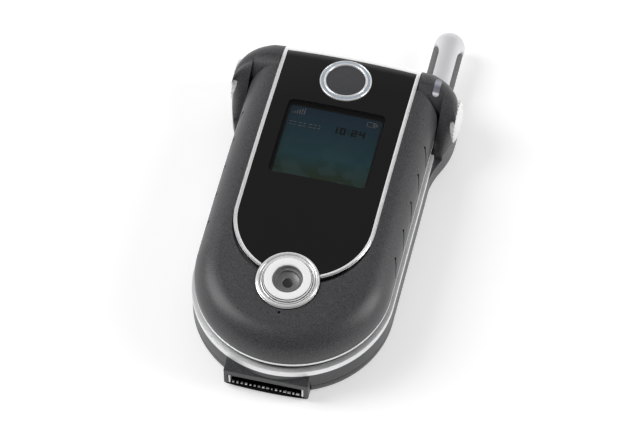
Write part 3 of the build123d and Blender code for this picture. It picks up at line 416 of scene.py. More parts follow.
def board_material():
    """Solder mask with copper tracks."""
    made, nodes, shader = material("board_green", 0.45)
    tracks = nodes.add("ShaderNodeTexBrick")
    nodes.fill(tracks, Vector=nodes.place(), Scale=320.0, Color1=(0.010, 0.075, 0.035, 1),
               Color2=(0.013, 0.095, 0.045, 1), Mortar=(0.030, 0.150, 0.070, 1))
    nodes.fill(shader, Base_Color=tracks.outputs["Color"],
               Normal=nodes.bump(tracks.outputs["Fac"], 0.3, 0.05 * MM))
    return made


# Painted light on the light pipe, painted shade in its middle and a painted highlight near its lower end: (share
# of its length from the upper end, colour)
PIPE_PAINTED_LIGHT = ((0.0, grey(118, 8)), (0.3, grey(168, 10)), (0.55, grey(112, 12)), (0.78, grey(126, 10)),
               (0.88, grey(235, 6)), (1.0, grey(150, 6)))


def light_material():
    """Frosted light pipe with painted light: painted shade in the middle and a painted highlight near its lower
    end.
    """
    made, nodes, shader = material("light_pipe_frosted", 0.2, Coat_Weight=0.5)
    low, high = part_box("status_light")
    # painted light along the pipe: shade in the middle, a highlight near the lower end
    along = nodes.ramp(nodes.split()["Y"], high.y, low.y)
    shades = nodes.add("ShaderNodeValToRGB")
    nodes.put(shades.inputs[0], along)
    for place, shade in PIPE_PAINTED_LIGHT[1:-1]:
        shades.color_ramp.elements.new(place)
    for element, (place, shade) in zip(shades.color_ramp.elements, PIPE_PAINTED_LIGHT):
        element.position = place
        element.color = shade
    nodes.fill(shader, Base_Color=shades.outputs[0])
    return made


def make_materials():
    """Finish of each slot; grained ones give name, dark, light, grain, its depth and roughness."""
    return {
        "charcoal_paint": grained("charcoal_soft_paint", grey(46, 1), grey(80, 3), 0.26, 0.25, (0.34, 0.46),
                                  wear=0.1, worn=grey(92, 2)),
        "black_plastic": grained("moulded_black", grey(22), grey(30), 0.25, 0.4, (0.4, 0.6)),
        "black_window": window_material(),
        "clear_window": clear_material("clear_sheet", grey(30), 0.12),
        "bright_trim": plated("bright_plating", grey(252), grey(255), (0.16, 0.24), metallic=0.5),
        "silver_trim": plated("satin_silver", grey(246, 1), grey(252), (0.36, 0.46), metallic=0.6),
        "silver_metal": plated("spun_silver", grey(252), grey(255), (0.3, 0.42), metallic=0.0),
        "badge_plate": grained("badge_dark", grey(52, 3), grey(76, 4), 0.2, 0.1, (0.3, 0.4)),
        "lens_glass": clear_material("lens_coating", grey(16, 8), 0.55, Coat_Weight=0.4),
        "display_module": screen_material(
            "outer_screen", DISPLAY_LOW, DISPLAY_HIGH, up=1, border=1.3 * MM, glow=0.7),
        "board": board_material(),
        "dark_rubber": grained("grip_rubber", grey(96), grey(112), 0.12, 0.4, (0.6, 0.75)),
        "steel": brushed("plain_steel", grey(150), grey(185), (0.25, 0.4)),
        "battery_wrap": grained("battery_sleeve", grey(52), grey(62), 0.4, 0.1, (0.35, 0.5)),
        "key_rubber": grained("key_mat", grey(120, 4), grey(140, 4), 0.2, 0.3, (0.5, 0.7)),
        "dark_caps": plated("cap_silver", grey(240), grey(250), (0.26, 0.36), metallic=0.3),
        "light_pipe": light_material(),
        "silver_key": grained("key_silver", grey(150, 3), grey(172, 4), 0.1, 0.1, (0.28, 0.4), metallic=0.6),
        "nav_metal": brushed("key_metal", grey(150, 2), grey(180, 3), (0.2, 0.35)),
        "silver_aerial": grained(
            "aerial_paint", grey(222, 2), grey(234, 3), 0.1, 0.08, (0.38, 0.48), metallic=0.35),
        "brass_bush": brushed("turned_brass", (0.48, 0.36, 0.13, 1), (0.62, 0.47, 0.18, 1), (0.2, 0.35)),
        "gold_contacts": brushed("gold_plating", (0.75, 0.60, 0.28, 1), (0.9, 0.75, 0.4, 1), (0.1, 0.2)),
    }


MATERIALS = make_materials()
CAMERA_GREY = grained(
    "camera_grey", grey(120), grey(140), 0.1, 0.1, (0.3, 0.42), metallic=0.3, wear=0.5, worn=grey(200))
BADGE_BLUE = plated(
    "badge_blue_grey", (0.36, 0.42, 0.50, 1), (0.44, 0.50, 0.57, 1), (0.22, 0.32), metallic=0.1)
MARK_LIGHT = marking("mark_light", grey(150, 3), grey(170, 3), (0.5, 0.6))
MARK_DARK = marking("mark_dark", grey(8), grey(14), (0.5, 0.6))
DOCK_BLACK = grained(
    "dock_black", grey(4), grey(10), 0.2, 0.1, (0.8, 0.9), wear=0.0, Specular_IOR_Level=0.1)
PUPIL_GREY = marking("pupil_grey", grey(44, 2), grey(56, 2), (0.3, 0.4))
MARK_GREEN = marking("mark_green", (0.02, 0.25, 0.06, 1), (0.03, 0.32, 0.08, 1), (0.4, 0.5))
MARK_RED = marking("mark_red", (0.45, 0.02, 0.02, 1), (0.55, 0.03, 0.03, 1), (0.4, 0.5))
CONTACT_METAL = plated("contact_metal", grey(236), grey(252), (0.2, 0.3), metallic=0.4)
MAIN_SCREEN = screen_material("main_screen", *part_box("inner_display"), up=-1, border=2.0 * MM, glow=3.0)


def dress_nodes():
    """Every CAD node takes the finish of its slot."""
    for part in frame["record"]["subparts"]:
        node = frame["nodes"][part["node"]]
        finish = MAIN_SCREEN if part["node"] == "inner_display" else MATERIALS[part["material_slot"]]
        for index in range(len(node.data.materials)):
            node.data.materials[index] = finish


# ---- meshes ----
MERGE_DISTANCE = 0.5e-6
SHARP_ANGLE = math.radians(35)


def add_object(name, data):
    """Object in the scene."""
    item = bpy.data.objects.new(name, data)
    bpy.context.scene.collection.objects.link(item)
    return item


def evaluated_mesh(item):
    """Plain mesh of an object with its modifiers applied."""
    return bpy.data.meshes.new_from_object(item.evaluated_get(bpy.context.evaluated_depsgraph_get()))


def new_piece(name, shape, slot, body, *nodes, finish=None):
    """Shaded piece that rides on a body, in place of the CAD nodes that are named."""
    mesh = mesh_of(shape) if isinstance(shape, bmesh.types.BMesh) else shape
    mesh.name = name
    piece = add_object(name, mesh)
    mesh.materials.clear()
    mesh.materials.append(finish or MATERIALS[slot])
    mesh.shade_smooth()
    mesh.set_sharp_from_angle(angle=SHARP_ANGLE)
    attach(piece, body)
    if nodes:
        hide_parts(*nodes)
    return piece


def plain_mesh(build):
    """Mesh from a bmesh as it is."""
    mesh = bpy.data.meshes.new("shell")
    build.to_mesh(mesh)
    build.free()
    return mesh


def mesh_of(build):
    """Mesh from a bmesh, closed and with its faces outwards."""
    bmesh.ops.remove_doubles(build, verts=build.verts, dist=MERGE_DISTANCE)
    bmesh.ops.recalc_face_normals(build, faces=build.faces)
    return plain_mesh(build)


def joined(meshes):
    """Bmesh of several meshes, which are dropped."""
    build = bmesh.new()
    for mesh in meshes:
        build.from_mesh(mesh)
        bpy.data.meshes.remove(mesh)
    return build


def tube_mesh(rings, looped=False):
    """Closed surface through equal rings of points, with flat ends or run on into a loop."""
    build = bmesh.new()
    rows = [[build.verts.new(point) for point in ring] for ring in rings]
    pairs = list(zip(rows, rows[1:] + rows[:1])) if looped else list(zip(rows, rows[1:]))
    for first, second in pairs:
        for index in range(len(first)):
            after = (index + 1) % len(first)
            build.faces.new((first[index], first[after], second[after], second[index]))
    if not looped:
        build.faces.new(rows[0])
        build.faces.new(rows[-1])
    return mesh_of(build)


def lathe_mesh(outline, seat, steps=128):
    """Ring turned from a closed outline of (radius, height) in millimetres."""
    rings = []
    for step in range(steps):
        turn = 2 * math.pi * step / steps
        spoke = Vector((math.cos(turn), math.sin(turn), 0))
        rings.append([
            seat @ (spoke * radius * MM + Vector((0, 0, height * MM))) for radius, height in outline])
    return tube_mesh(rings, looped=True)


def turned_piece(name, outline, seat, slot, *nodes, finish=None, steps=128):
    """Turned piece on the lid."""
    new_piece(name, lathe_mesh(outline, seat, steps), slot, "flip", *nodes, finish=finish)


def arc_points(centre, radius, start, end, count):
    """Points of an arc in degrees, as (radius, height) in millimetres."""
    turns = [math.radians(start + (end - start) * index / (count - 1)) for index in range(count)]
    return [(centre[0] + radius * math.cos(turn), centre[1] + radius * math.sin(turn)) for turn in turns]


# ---- grown pieces ----
LAID_ALONG_X = (0.0, math.radians(90.0), 0.0)


def geometry_tree(name, inputs):
    """Geometry tree with named whole-number and float inputs."""
    tree = bpy.data.node_groups.new(name, "GeometryNodeTree")
    tree.interface.new_socket("Geometry", in_out="INPUT", socket_type="NodeSocketGeometry")
    for socket, value in inputs.items():
        kind = "NodeSocketInt" if isinstance(value, int) else "NodeSocketFloat"
        tree.interface.new_socket(socket, in_out="INPUT", socket_type=kind).default_value = value
    tree.interface.new_socket("Geometry", in_out="OUTPUT", socket_type="NodeSocketGeometry")
    nodes = Nodes(tree)
    return nodes, nodes.add("NodeGroupInput").outputs, nodes.add("NodeGroupOutput").inputs


def finish_tree(nodes, result, geometry, finish):
    """Realized instances with their material go out of the tree."""
    real = nodes.out("GeometryNodeRealizeInstances", Geometry=geometry)
    return nodes.give(result, Geometry=nodes.out("GeometryNodeSetMaterial", Geometry=real, Material=finish))


def grown_mesh(tree, **values):
    """Plain mesh of what a geometry tree makes from the named values."""
    holder = add_object("holder", bpy.data.meshes.new("seed"))
    grow = holder.modifiers.new("grow", "NODES")
    grow.node_group = tree
    for item in tree.interface.items_tree:
        key = item.name.replace(" ", "_")
        if item.in_out == "INPUT" and key in values:
            grow[item.identifier] = values[key]
    made = evaluated_mesh(holder)
    bpy.data.objects.remove(holder)
    return mesh_of(joined([made]))


FLANK_X = 18.3 * MM  # where the lid's flat middle turns into its round flank
STRIP_THICKNESS = 0.2 * MM
DOT_RADIUS = 0.34 * MM
DOT_DEPTH = 0.5 * MM
DOT_PLACE = (0.07 * MM, -0.2 * MM, 0.0)  # middle of the round end, from the slot's upper end


def slot_tree(finish):
    """Dark inlays with a round top end, set into the slanted slots and bent to the lid's flank."""
    nodes, given, result = geometry_tree("slot_inlays", {
        "Count": 5, "Pitch": 8.75 * MM, "First Y": 21.6 * MM, "Top Z": 19.6 * MM, "Length": 5.3 * MM,
        "Width": 0.46 * MM, "Slant": math.radians(40.0), "Sink": 0.3 * MM, "Flank Radius": 7.0 * MM,
        "Flank X": FLANK_X, "Crown Radius": 0.3, "Crown Z": 0.0})
    line = nodes.out("GeometryNodeMeshLine", Count=given["Count"],
                     Start_Location=nodes.vector(0.0, given["First Y"], given["Top Z"]),
                     Offset=nodes.vector(0.0, nodes.times(given["Pitch"], -1.0)))
    strip = nodes.out("GeometryNodeMeshCube", Vertices_X=2, Vertices_Y=20, Vertices_Z=3,
                      Size=nodes.vector(STRIP_THICKNESS, given["Length"], given["Width"]))
    back = nodes.times(given["Length"], -0.5)
    strip = nodes.out(
        "GeometryNodeTransform", Geometry=strip, Translation=nodes.vector(-STRIP_THICKNESS / 2, back))
    dot = nodes.out("GeometryNodeMeshCylinder", Radius=DOT_RADIUS, Depth=DOT_DEPTH)
    dot = nodes.out("GeometryNodeTransform", Geometry=dot, Translation=DOT_PLACE, Rotation=LAID_ALONG_X)
    placed = nodes.out("GeometryNodeInstanceOnPoints", Points=line, Instance=nodes.join(strip, dot),
                       Rotation=nodes.vector(given["Slant"]))
    real = nodes.out("GeometryNodeRealizeInstances", Geometry=placed)
    at = nodes.split(nodes.out("GeometryNodeInputPosition"))
    crown = nodes.root(nodes.minus(nodes.squared(given["Crown Radius"]), nodes.squared(at["Y"])))
    middle = nodes.minus(nodes.plus(crown, given["Crown Z"]), given["Flank Radius"])
    rise = nodes.squared(nodes.larger(nodes.minus(at["Z"], middle), 0.0))
    reach = nodes.root(nodes.larger(nodes.minus(nodes.squared(given["Flank Radius"]), rise), 0.0))
    flank = nodes.minus(nodes.plus(reach, given["Flank X"]), given["Sink"])
    bent = nodes.out("GeometryNodeSetPosition", Geometry=real,
                     Position=nodes.vector(nodes.plus(flank, at["X"]), at["Y"], at["Z"]))
    mirrored = nodes.out("GeometryNodeTransform", Geometry=bent, Scale=(-1.0, 1.0, 1.0))
    mirrored = nodes.out("GeometryNodeFlipFaces", Mesh=mirrored)
    return finish_tree(nodes, result, nodes.join(bent, mirrored), finish)


def make_slot_inlays():
    """Inlays of the ten grip slots."""
    mesh = grown_mesh(slot_tree(DOCK_BLACK), Flank_X=FLANK_X, Crown_Z=CROWN_TOP - CROWN_RADIUS,
                      Crown_Radius=CROWN_RADIUS - sag(FLANK_X))
    new_piece("slot_inlays", mesh, "black_plastic", "flip", finish=DOCK_BLACK)


UNEVEN_LOW = (0.3, 0.7, 0.3)  # least size of a contact's tip, along Z, Y and X of its place
UNEVEN_HIGH = (1.0, 1.0, 1.0)
UNEVEN_SEED = 11


def contact_tree(finish):
    """Row of rounded contact tips that stand a little unevenly."""
    nodes, given, result = geometry_tree("contact_row", {
        "Count": 17, "Pitch": 1.12 * MM, "Start X": 0.0, "Y": 0.0, "Z": 0.0, "Width": 0.9 * MM,
        "Tip Radius": 0.34 * MM})
    line = nodes.out("GeometryNodeMeshLine", Count=given["Count"], Offset=nodes.vector(given["Pitch"]),
                     Start_Location=nodes.vector(given["Start X"], given["Y"], given["Z"]))
    tip = nodes.out(
        "GeometryNodeMeshCylinder", Vertices=20, Radius=given["Tip Radius"], Depth=given["Width"])
    uneven = nodes.add("FunctionNodeRandomValue", data_type="FLOAT_VECTOR")
    uneven.inputs[0].default_value = UNEVEN_LOW
    uneven.inputs[1].default_value = UNEVEN_HIGH
    uneven.inputs["Seed"].default_value = UNEVEN_SEED
    placed = nodes.out("GeometryNodeInstanceOnPoints", Points=line, Instance=tip, Rotation=LAID_ALONG_X,
                       Scale=uneven.outputs[0])
    return finish_tree(nodes, result, placed, finish)


# ---- frame of the window ----
FRAME_START = 25.0  # degrees from -Y where the frame meets the camera's ring
WINDOW_WRAP = 67.0  # degrees above +Y where the window ends on the barrel
FRAME_WRAP = -35.0  # degrees where the frame ends behind the barrel
FRAME_DEPTH = 1.0 * MM
BACK_HEIGHT = 0.02 * MM  # of the strip behind the window, over the barrel
BACK_SINK = 0.1 * MM  # of the strip's two edges, into the barrel
BEND_STEPS = 48
SIDE_STEPS = 24
BARREL_STEPS = 6
BACK_ROWS = 24
BACK_COLUMNS = 32
# Section of the frame in millimetres: (away from the window, height over the lid)
FRAME_SECTION = ((-0.475, -0.5), (-0.475, 0.0), (-0.4, 0.06), (-0.15, 0.19), (-0.03, 0.225), (0.1, 0.215),
                 (0.19, 0.14), (0.215, 0.0), (0.225, -0.12), (0.295, -0.12), (0.305, 0.0), (0.34, 0.045),
                 (0.42, 0.045), (0.475, 0.0), (0.475, -0.5))


def frame_rail(side):
    """Rings of points along one side of the frame, from the camera round and up over the barrel."""
    middle = (WINDOW_HIGH.x + TRIM_HIGH.x) / 2
    centre_y = WINDOW_LOW.y + WINDOW_HIGH.x
    stops = []
    start = math.radians(FRAME_START)
    for step in range(BEND_STEPS + 1):
        turn = start + (math.pi / 2 - start) * step / BEND_STEPS
        stops.append(on_crown(side * middle * math.sin(turn), centre_y - middle * math.cos(turn)))
    barrel_y = HINGE.y + BARREL_RADIUS * math.sin(TANGENT)
    for step in range(1, SIDE_STEPS + 1):
        stops.append(on_crown(side * middle, centre_y + (barrel_y - centre_y) * step / SIDE_STEPS))
    barrel_start = 90 - math.degrees(TANGENT)
    for step in range(1, BARREL_STEPS + 1):
        angle = barrel_start + (WINDOW_WRAP - barrel_start) * step / BARREL_STEPS
        stops.append(on_barrel(side * middle, math.radians(angle)))
    rings = []
    for index, (point, normal) in enumerate(stops):
        before = stops[max(index - 1, 0)][0]
        after = stops[min(index + 1, len(stops) - 1)][0]
        outward = (after - before).normalized().cross(normal) * side
        rings.append([
            point + outward * (out * MM) + normal * (height * MM) for out, height in FRAME_SECTION])
    return rings


def frame_back():
    """Rings of points of the bright strip over the barrel, behind the window."""
    half = TRIM_HIGH.x
    angles = [math.radians(WINDOW_WRAP + (FRAME_WRAP - WINDOW_WRAP) * step / BACK_ROWS)
              for step in range(BACK_ROWS + 1)]
    heights = [-BACK_SINK] + [BACK_HEIGHT] * (BACK_ROWS - 1) + [-BACK_SINK]
    rings = []
    for step in range(BACK_COLUMNS + 1):
        x = -half + 2 * half * step / BACK_COLUMNS
        outer = [on_barrel(x, angle, height)[0] for angle, height in zip(angles, heights)]
        inner = [on_barrel(x, angle, -FRAME_DEPTH)[0] for angle in reversed(angles)]
        rings.append(outer + inner)
    return rings


def make_window_frame():
    """Bright frame with a ridge and a fine outer line, and the strip that closes it over the hinge."""
    shells = joined([tube_mesh(rings) for rings in (frame_rail(-1), frame_rail(1), frame_back())])
    new_piece("window_frame", plain_mesh(shells), "bright_trim", "flip", "flip_trim")


# ---- camera on the lid ----
# Outlines of turned pieces, here and for the badge: (radius, height over the lid) in millimetres.
CAMERA_Y = -28.4 * MM
CAMERA_RING = [
    (8.1, -0.4), (8.1, 0.02), (8.0, 0.07), (7.97, 0.2), *arc_points((7.52, 0.25), 0.43, 20, 150, 12),
    (7.12, 0.36), (7.07, 0.36), (7.04, 0.46), (6.97, 0.5), (6.84, 0.47), (6.81, 0.36), (6.76, 0.35),
    (6.73, 0.42), (6.66, 0.45), (6.58, 0.4), (6.5, 0.3), (6.48, -1.0), (6.95, -1.0), (6.95, -0.4)]
CAMERA_DISC = [
    (6.3, -0.98), (6.3, 0.68), (6.24, 0.74), (6.1, 0.78), (6.02, 0.86), (5.98, 1.0), (5.9, 1.07),
    (5.75, 1.1), (4.3, 1.08), (4.12, 1.04), (3.98, 0.94), (3.9, 0.8), (3.86, -0.6), (4.6, -0.98)]
CAMERA_FUNNEL = [
    (3.94, 0.84), (3.8, 0.72), (3.62, 0.2), (3.55, -0.1), (3.2, -0.16), (3.14, -0.1), (3.06, -0.1),
    (3.0, -0.18), (2.94, -0.9), (2.6, -0.98), (1.75, -1.3), (1.5, -1.28), (1.4, -1.34), (1.22, -1.6),
    (1.22, -1.9), (2.1, -1.9), (2.7, -1.03), (3.93, -0.9)]
# Black rings: the first is a painted shadow round the outer ring, the middle two are dark joints, the last is a
# painted dark reflection on the disc's step
CAMERA_GAPS_AND_SHADE = (
    [(8.28, -0.3), (8.28, 0.03), (8.12, 0.05), (8.08, -0.3)],
    [(7.06, 0.3), (7.06, 0.42), (7.0, 0.52), (6.96, 0.3)],
    [(6.49, -0.9), (6.49, 0.3), (6.29, 0.3), (6.29, -0.9)],
    [(6.15, 0.6), (6.15, 0.8), (6.04, 0.93), (5.98, 0.93), (5.98, 0.6)])
CAMERA_PUPIL = [
    (1.3, -1.9), (1.3, -1.5), (1.22, -1.42), (1.1, -1.46), (0.6, -1.5), (0.02, -1.5), (0.02, -1.9)]


def make_camera_pieces():
    """Stepped outer ring, raised disc, funnel, dark joints with a painted shadow ring and a painted dark
    reflection, and pupil.
    """
    seat = crown_seat(CAMERA_Y)
    turned_piece("camera_outer_ring", CAMERA_RING, seat, "bright_trim", "camera_bezel")
    turned_piece("camera_face", CAMERA_DISC, seat, "silver_metal", "camera_ring")
    turned_piece("camera_funnel", CAMERA_FUNNEL, seat, "black_plastic", finish=CAMERA_GREY)
    # black rings: dark joints, a painted shadow round the outer ring and a painted dark reflection on the disc's
    # step
    gaps_and_shade = joined([lathe_mesh(outline, seat) for outline in CAMERA_GAPS_AND_SHADE])
    new_piece("camera_gaps", gaps_and_shade, "black_plastic", "flip", finish=DOCK_BLACK)
    turned_piece(
        "camera_pupil", CAMERA_PUPIL, seat, "lens_glass", "camera_lens", finish=PUPIL_GREY, steps=64)


# ---- badge ----
BADGE_Y = 35.3 * MM
BADGE_OUTER = [
    (6.8, -0.3), (6.8, 0.06), *arc_points((6.6, 0.12), 0.17, 10, 170, 10), (6.4, 0.06), (6.4, -0.3)]
BADGE_INNER = [
    (5.72, -0.3), (5.72, 0.2), *arc_points((5.45, 0.22), 0.27, 20, 165, 10), (5.16, 0.12), (5.1, -0.3)]
BADGE_BAND = [(6.42, -0.28), (6.42, 0.1), (6.3, 0.14), (5.8, 0.2), (5.7, 0.2), (5.7, -0.28)]
PLATE_RADIUS = 4.9
PLATE_EDGE = 0.06
PLATE_CROWN = 0.14  # rise of the plate's middle over its edge


def badge_plate():
    """Outline of the plate, a little crowned."""
    crown = [(radius, PLATE_EDGE + PLATE_CROWN * (1 - (radius / PLATE_RADIUS) ** 2))
             for radius in (4.4, 3.5, 2.5, 1.5, 0.7, 0.02)]
    return [(5.14, -0.45), (5.14, 0.02), (5.0, 0.07), (PLATE_RADIUS, PLATE_EDGE), *crown, (0.02, -0.45)]


def make_badge_pieces():
    """Two bright rims with a blue-grey band between them, and a plain dark plate."""
    seat = crown_seat(BADGE_Y)
    rims = joined([lathe_mesh(outline, seat) for outline in (BADGE_OUTER, BADGE_INNER)])
    new_piece("badge_rims", plain_mesh(rims), "bright_trim", "flip", "badge_ring")
    turned_piece("badge_band", BADGE_BAND, seat, "badge_plate", finish=BADGE_BLUE)
    turned_piece("badge_face", badge_plate(), seat, "badge_plate", "badge_disc")


# ---- aerial ----
AERIAL_RADIUS = (AERIAL_HIGH.x - AERIAL_LOW.x) / 2 + 0.45 * MM
AERIAL_TURN = math.radians(-9.0)  # the head is round and has turned on its rod
AERIAL_LEAST = 0.02 * MM  # least radius, so that the tip stays open for its cap
AERIAL_COLUMNS = 144
SHANK_START = 0.5 * MM  # where the straight shank begins, past the chamfered foot
SHANK_STEPS = 56
DOME_LENGTH = 0.93  # of the tip, in radii
DOME_POWER = 0.92  # below 1 the tip is fuller than a ball
DOME_STEPS = 18
GRIP_SPREAD = math.radians(52.0)  # half the turn that a grip covers
GRIP_START = 1.2 * MM
GRIP_END = 15.6 * MM
GRIP_DEPTH = 0.5 * MM
GRIP_EDGE = 0.22 * MM  # width of the slope into the grip's hollow
GRIP_GAP = 0.35 * MM  # between the hollow's outline and the rubber
GRIP_SINK = 0.28 * MM  # of the rubber's edge, under the head's surface
GRIP_CROWN = 0.16 * MM
GRIP_FOOT = 0.75 * MM
GRIP_LEAST = 0.05 * MM  # half width at the round end's last row
GRIP_ROWS = 60
GRIP_COLUMNS = 24


def aerial_profile():
    """Distance along the head and its radius there, from the rod to the domed tip."""
    radius = AERIAL_RADIUS
    dome = radius * DOME_LENGTH
    shank = AERIAL_HIGH.y - AERIAL_LOW.y - dome
    steps = [(0.0, radius - 0.5 * MM), (0.1 * MM, radius - 0.15 * MM), (0.35 * MM, radius)]
    steps += [(SHANK_START + (shank - SHANK_START) * step / SHANK_STEPS, radius)
              for step in range(SHANK_STEPS + 1)]
    for step in range(1, DOME_STEPS + 1):
        turn = math.pi / 2 * step / DOME_STEPS
        across = max(radius * math.cos(turn) ** DOME_POWER, AERIAL_LEAST)
        steps.append((shank + dome * math.sin(turn), across))
    return steps


def inside_grip(along, turn):
    """How far a point of the head lies inside the nearer grip's outline, along the surface."""
    half = GRIP_SPREAD * AERIAL_RADIUS
    across = AERIAL_RADIUS * abs(math.asin(math.sin(turn - AERIAL_TURN)))
    centre = GRIP_END - half
    if along > centre:
        return half - math.hypot(across, along - centre)
    return min(half - across, along - GRIP_START)


def aerial_point(along, turn, radius):
    """Point at a distance along the aerial's axis and a radius from it."""
    centre_x = (AERIAL_LOW.x + AERIAL_HIGH.x) / 2
    centre_z = (AERIAL_LOW.z + AERIAL_HIGH.z) / 2
    return Vector((
        centre_x + radius * math.cos(turn), AERIAL_LOW.y + along, centre_z + radius * math.sin(turn)))


def head_ring(along, radius):
    """Ring of the head, sunk inside the grips' outlines."""
    ring = []
    for column in range(AERIAL_COLUMNS):
        turn = 2 * math.pi * column / AERIAL_COLUMNS
        sink = GRIP_DEPTH * min(max(inside_grip(along, turn) / GRIP_EDGE, 0.0), 1.0)
        ring.append(aerial_point(along, turn, max(radius - sink, AERIAL_LEAST)))
    return ring


def grip_ring(row, middle):
    """Ring of one grip: its crowned face and its foot in the hollow."""
    radius = AERIAL_RADIUS
    along = GRIP_START + GRIP_GAP + (GRIP_END - GRIP_START - 2 * GRIP_GAP) * row / GRIP_ROWS
    half = GRIP_SPREAD * radius - GRIP_GAP
    past = along - (GRIP_END - GRIP_SPREAD * radius)
    if past > 0:
        half = math.sqrt(max(half**2 - past**2, GRIP_LEAST**2))
    face = []
    for column in range(GRIP_COLUMNS + 1):
        share = 2 * column / GRIP_COLUMNS - 1
        crown = GRIP_CROWN * (1 - share**4)
        face.append(aerial_point(along, middle + half * share / radius, radius - GRIP_SINK + crown))
    return face + [aerial_point(along, middle + half * share / radius, radius - GRIP_FOOT)
                   for share in (1, 0.5, 0, -0.5, -1)]


def make_aerial_pieces():
    """Silver head with a raised lip round each of two sunken rubber grips."""
    head = tube_mesh([head_ring(along, radius) for along, radius in aerial_profile()])
    new_piece("aerial_head", head, "silver_aerial", "aerial", "antenna_stub")
    grips = joined([tube_mesh([grip_ring(row, middle) for row in range(GRIP_ROWS + 1)])
                    for middle in (AERIAL_TURN, AERIAL_TURN + math.pi)])
    new_piece("aerial_grips", plain_mesh(grips), "dark_rubber", "aerial", "antenna_grips")


# ---- dock ----
DOCK_FRONT = DOCK_LOW.y + 0.05 * MM
DOCK_LEG = 1.1 * MM  # width of the pad's side walls
MOUTH_LAP = 0.1 * MM  # of the mouth into each side wall
CLIP_GAP = 0.12 * MM
CLIP_WIDTH = 0.5 * MM
# The dock's sections in millimetres: (back from its front, up from the ground)
HOOD_SECTION = ((0, 5.3), (0, 7.3), (3.4, 9.3), (4.55, 9.3), (4.55, 5.3))
WALL_SECTION = ((0, 1.4), (0, 5.6), (4.55, 5.6), (4.55, 1.4))
MOUTH_SECTION = ((0.05, 1.4), (0.05, 1.8), (0.5, 1.9), (2.2, 1.9), (2.4, 5.0), (0.3, 5.0), (0.3, 5.35),
                 (4.55, 5.35), (4.55, 1.4))
CLIP_LOW = (0.1, 1.85)
CLIP_HIGH = (2.3, 5.18)
TIPS_START = (1.3, 0.45, 2.15)  # from the left wall, back and up, in millimetres
LIP_TOP = 1.28
LIP_BACK = 3.55
LIP_FOOT = 0.15  # of the lip's middle, which hangs lower than its ends
LIP_RISE = 0.75
LIP_INSET = 0.5 * MM
LIP_STEPS = 24


def box_mesh(build, low, high):
    """Add a box between two corners to a bmesh."""
    made = bmesh.ops.create_cube(build, size=1.0)["verts"]
    for vertex in made:
        for axis in range(3):
            vertex.co[axis] = low[axis] if vertex.co[axis] < 0 else high[axis]


def soften(piece, width):
    """Small bevel on the piece's sharp edges, applied."""
    bevel = piece.modifiers.new("soft_edges", "BEVEL")
    bevel.width = width
    bevel.segments = 2
    bevel.limit_method = "ANGLE"
    bevel.angle_limit = math.radians(40)
    made = evaluated_mesh(piece)
    piece.modifiers.clear()
    old = piece.data
    piece.data = made
    bpy.data.meshes.remove(old)
    made.name = piece.name


def dock_point(x, back, up):
    """Point from X in metres and a section's millimetres."""
    return Vector((x, DOCK_FRONT + back * MM, up * MM))


def dock_solid(section, low, high):
    """Solid between two X planes over a section."""
    return tube_mesh([[dock_point(x, back, up) for back, up in section] for x in (low, high)])


def lip_ring(step):
    """Section of the lip, whose foot is bowed along X."""
    low, high = DOCK_LOW.x + LIP_INSET, DOCK_HIGH.x - LIP_INSET
    x = low + (high - low) * step / LIP_STEPS
    foot = LIP_FOOT + LIP_RISE * (2 * step / LIP_STEPS - 1) ** 2
    section = ((0.5, foot), (0.1, foot + 0.25), (0, LIP_TOP), (LIP_BACK, LIP_TOP), (LIP_BACK, foot))
    return [dock_point(x, back, up) for back, up in section]


def make_dock_pieces():
    """Charcoal pad with two side walls, the black mouth between them, clips, contacts and lip."""
    low, high = DOCK_LOW.x, DOCK_HIGH.x
    left, right = low + DOCK_LEG, high - DOCK_LEG
    pad = joined([dock_solid(HOOD_SECTION, low, high), dock_solid(WALL_SECTION, low, left),
                  dock_solid(WALL_SECTION, right, high)])
    soften(new_piece("dock_pad", pad, "charcoal_paint", "base"), 0.2 * MM)
    mouth = joined([dock_solid(MOUTH_SECTION, left - MOUTH_LAP, right + MOUTH_LAP)])
    piece = new_piece("dock_mouth", mouth, "black_plastic", "base", "dock_connector", finish=DOCK_BLACK)
    soften(piece, 0.05 * MM)
    clips = bmesh.new()
    for side, edge in ((1, left), (-1, right)):
        near, far = sorted((edge + side * CLIP_GAP, edge + side * (CLIP_GAP + CLIP_WIDTH)))
        box_mesh(clips, dock_point(near, *CLIP_LOW), dock_point(far, *CLIP_HIGH))
    soften(new_piece("dock_clips", clips, "gold_contacts", "base", finish=CONTACT_METAL), 0.08 * MM)
    start = dock_point(left + TIPS_START[0] * MM, *TIPS_START[1:])
    tips = grown_mesh(contact_tree(CONTACT_METAL), Start_X=start.x, Y=start.y, Z=start.z)
    new_piece("contact_tips", tips, "gold_contacts", "base", "dock_contacts", finish=CONTACT_METAL)
    lip = tube_mesh([lip_ring(step) for step in range(LIP_STEPS + 1)])
    new_piece("cover_lip", lip, "black_plastic", "battery_cover", finish=DOCK_BLACK)


# ---- marks on the display and the keys ----
# Marks are sets of bars (x, y, width, height) in millimetres, from their corner or middle.
SEGMENTS = {"0": "abcdef", "1": "bc", "2": "abdeg", "3": "abcdg", "4": "bcfg", "5": "acdfg", "6": "acdefg",
            "7": "abc", "8": "abcdefg", "9": "abcdfg"}
MARK_THICKNESS = 0.04 * MM
DISPLAY_FACE = DISPLAY_HIGH.z + 0.01 * MM
SIGNS_INSET = (2.0, 4.0)  # of the signal bars from the display's left and upper edges
SIGNAL_BARS = [(0.62 * index, 0, 0.3, 0.5 + 0.3 * index) for index in range(6)]
BATTERY_INSET = 5.2  # of the battery sign from the display's right edge
BATTERY_BARS = ((0, 0, 2.6, 0.22), (0, 1.4, 2.6, 0.22), (0, 0, 0.22, 1.6), (2.4, 0, 0.22, 1.6),
                (2.6, 0.5, 0.4, 0.6), (1.7, 0.35, 0.55, 0.95))
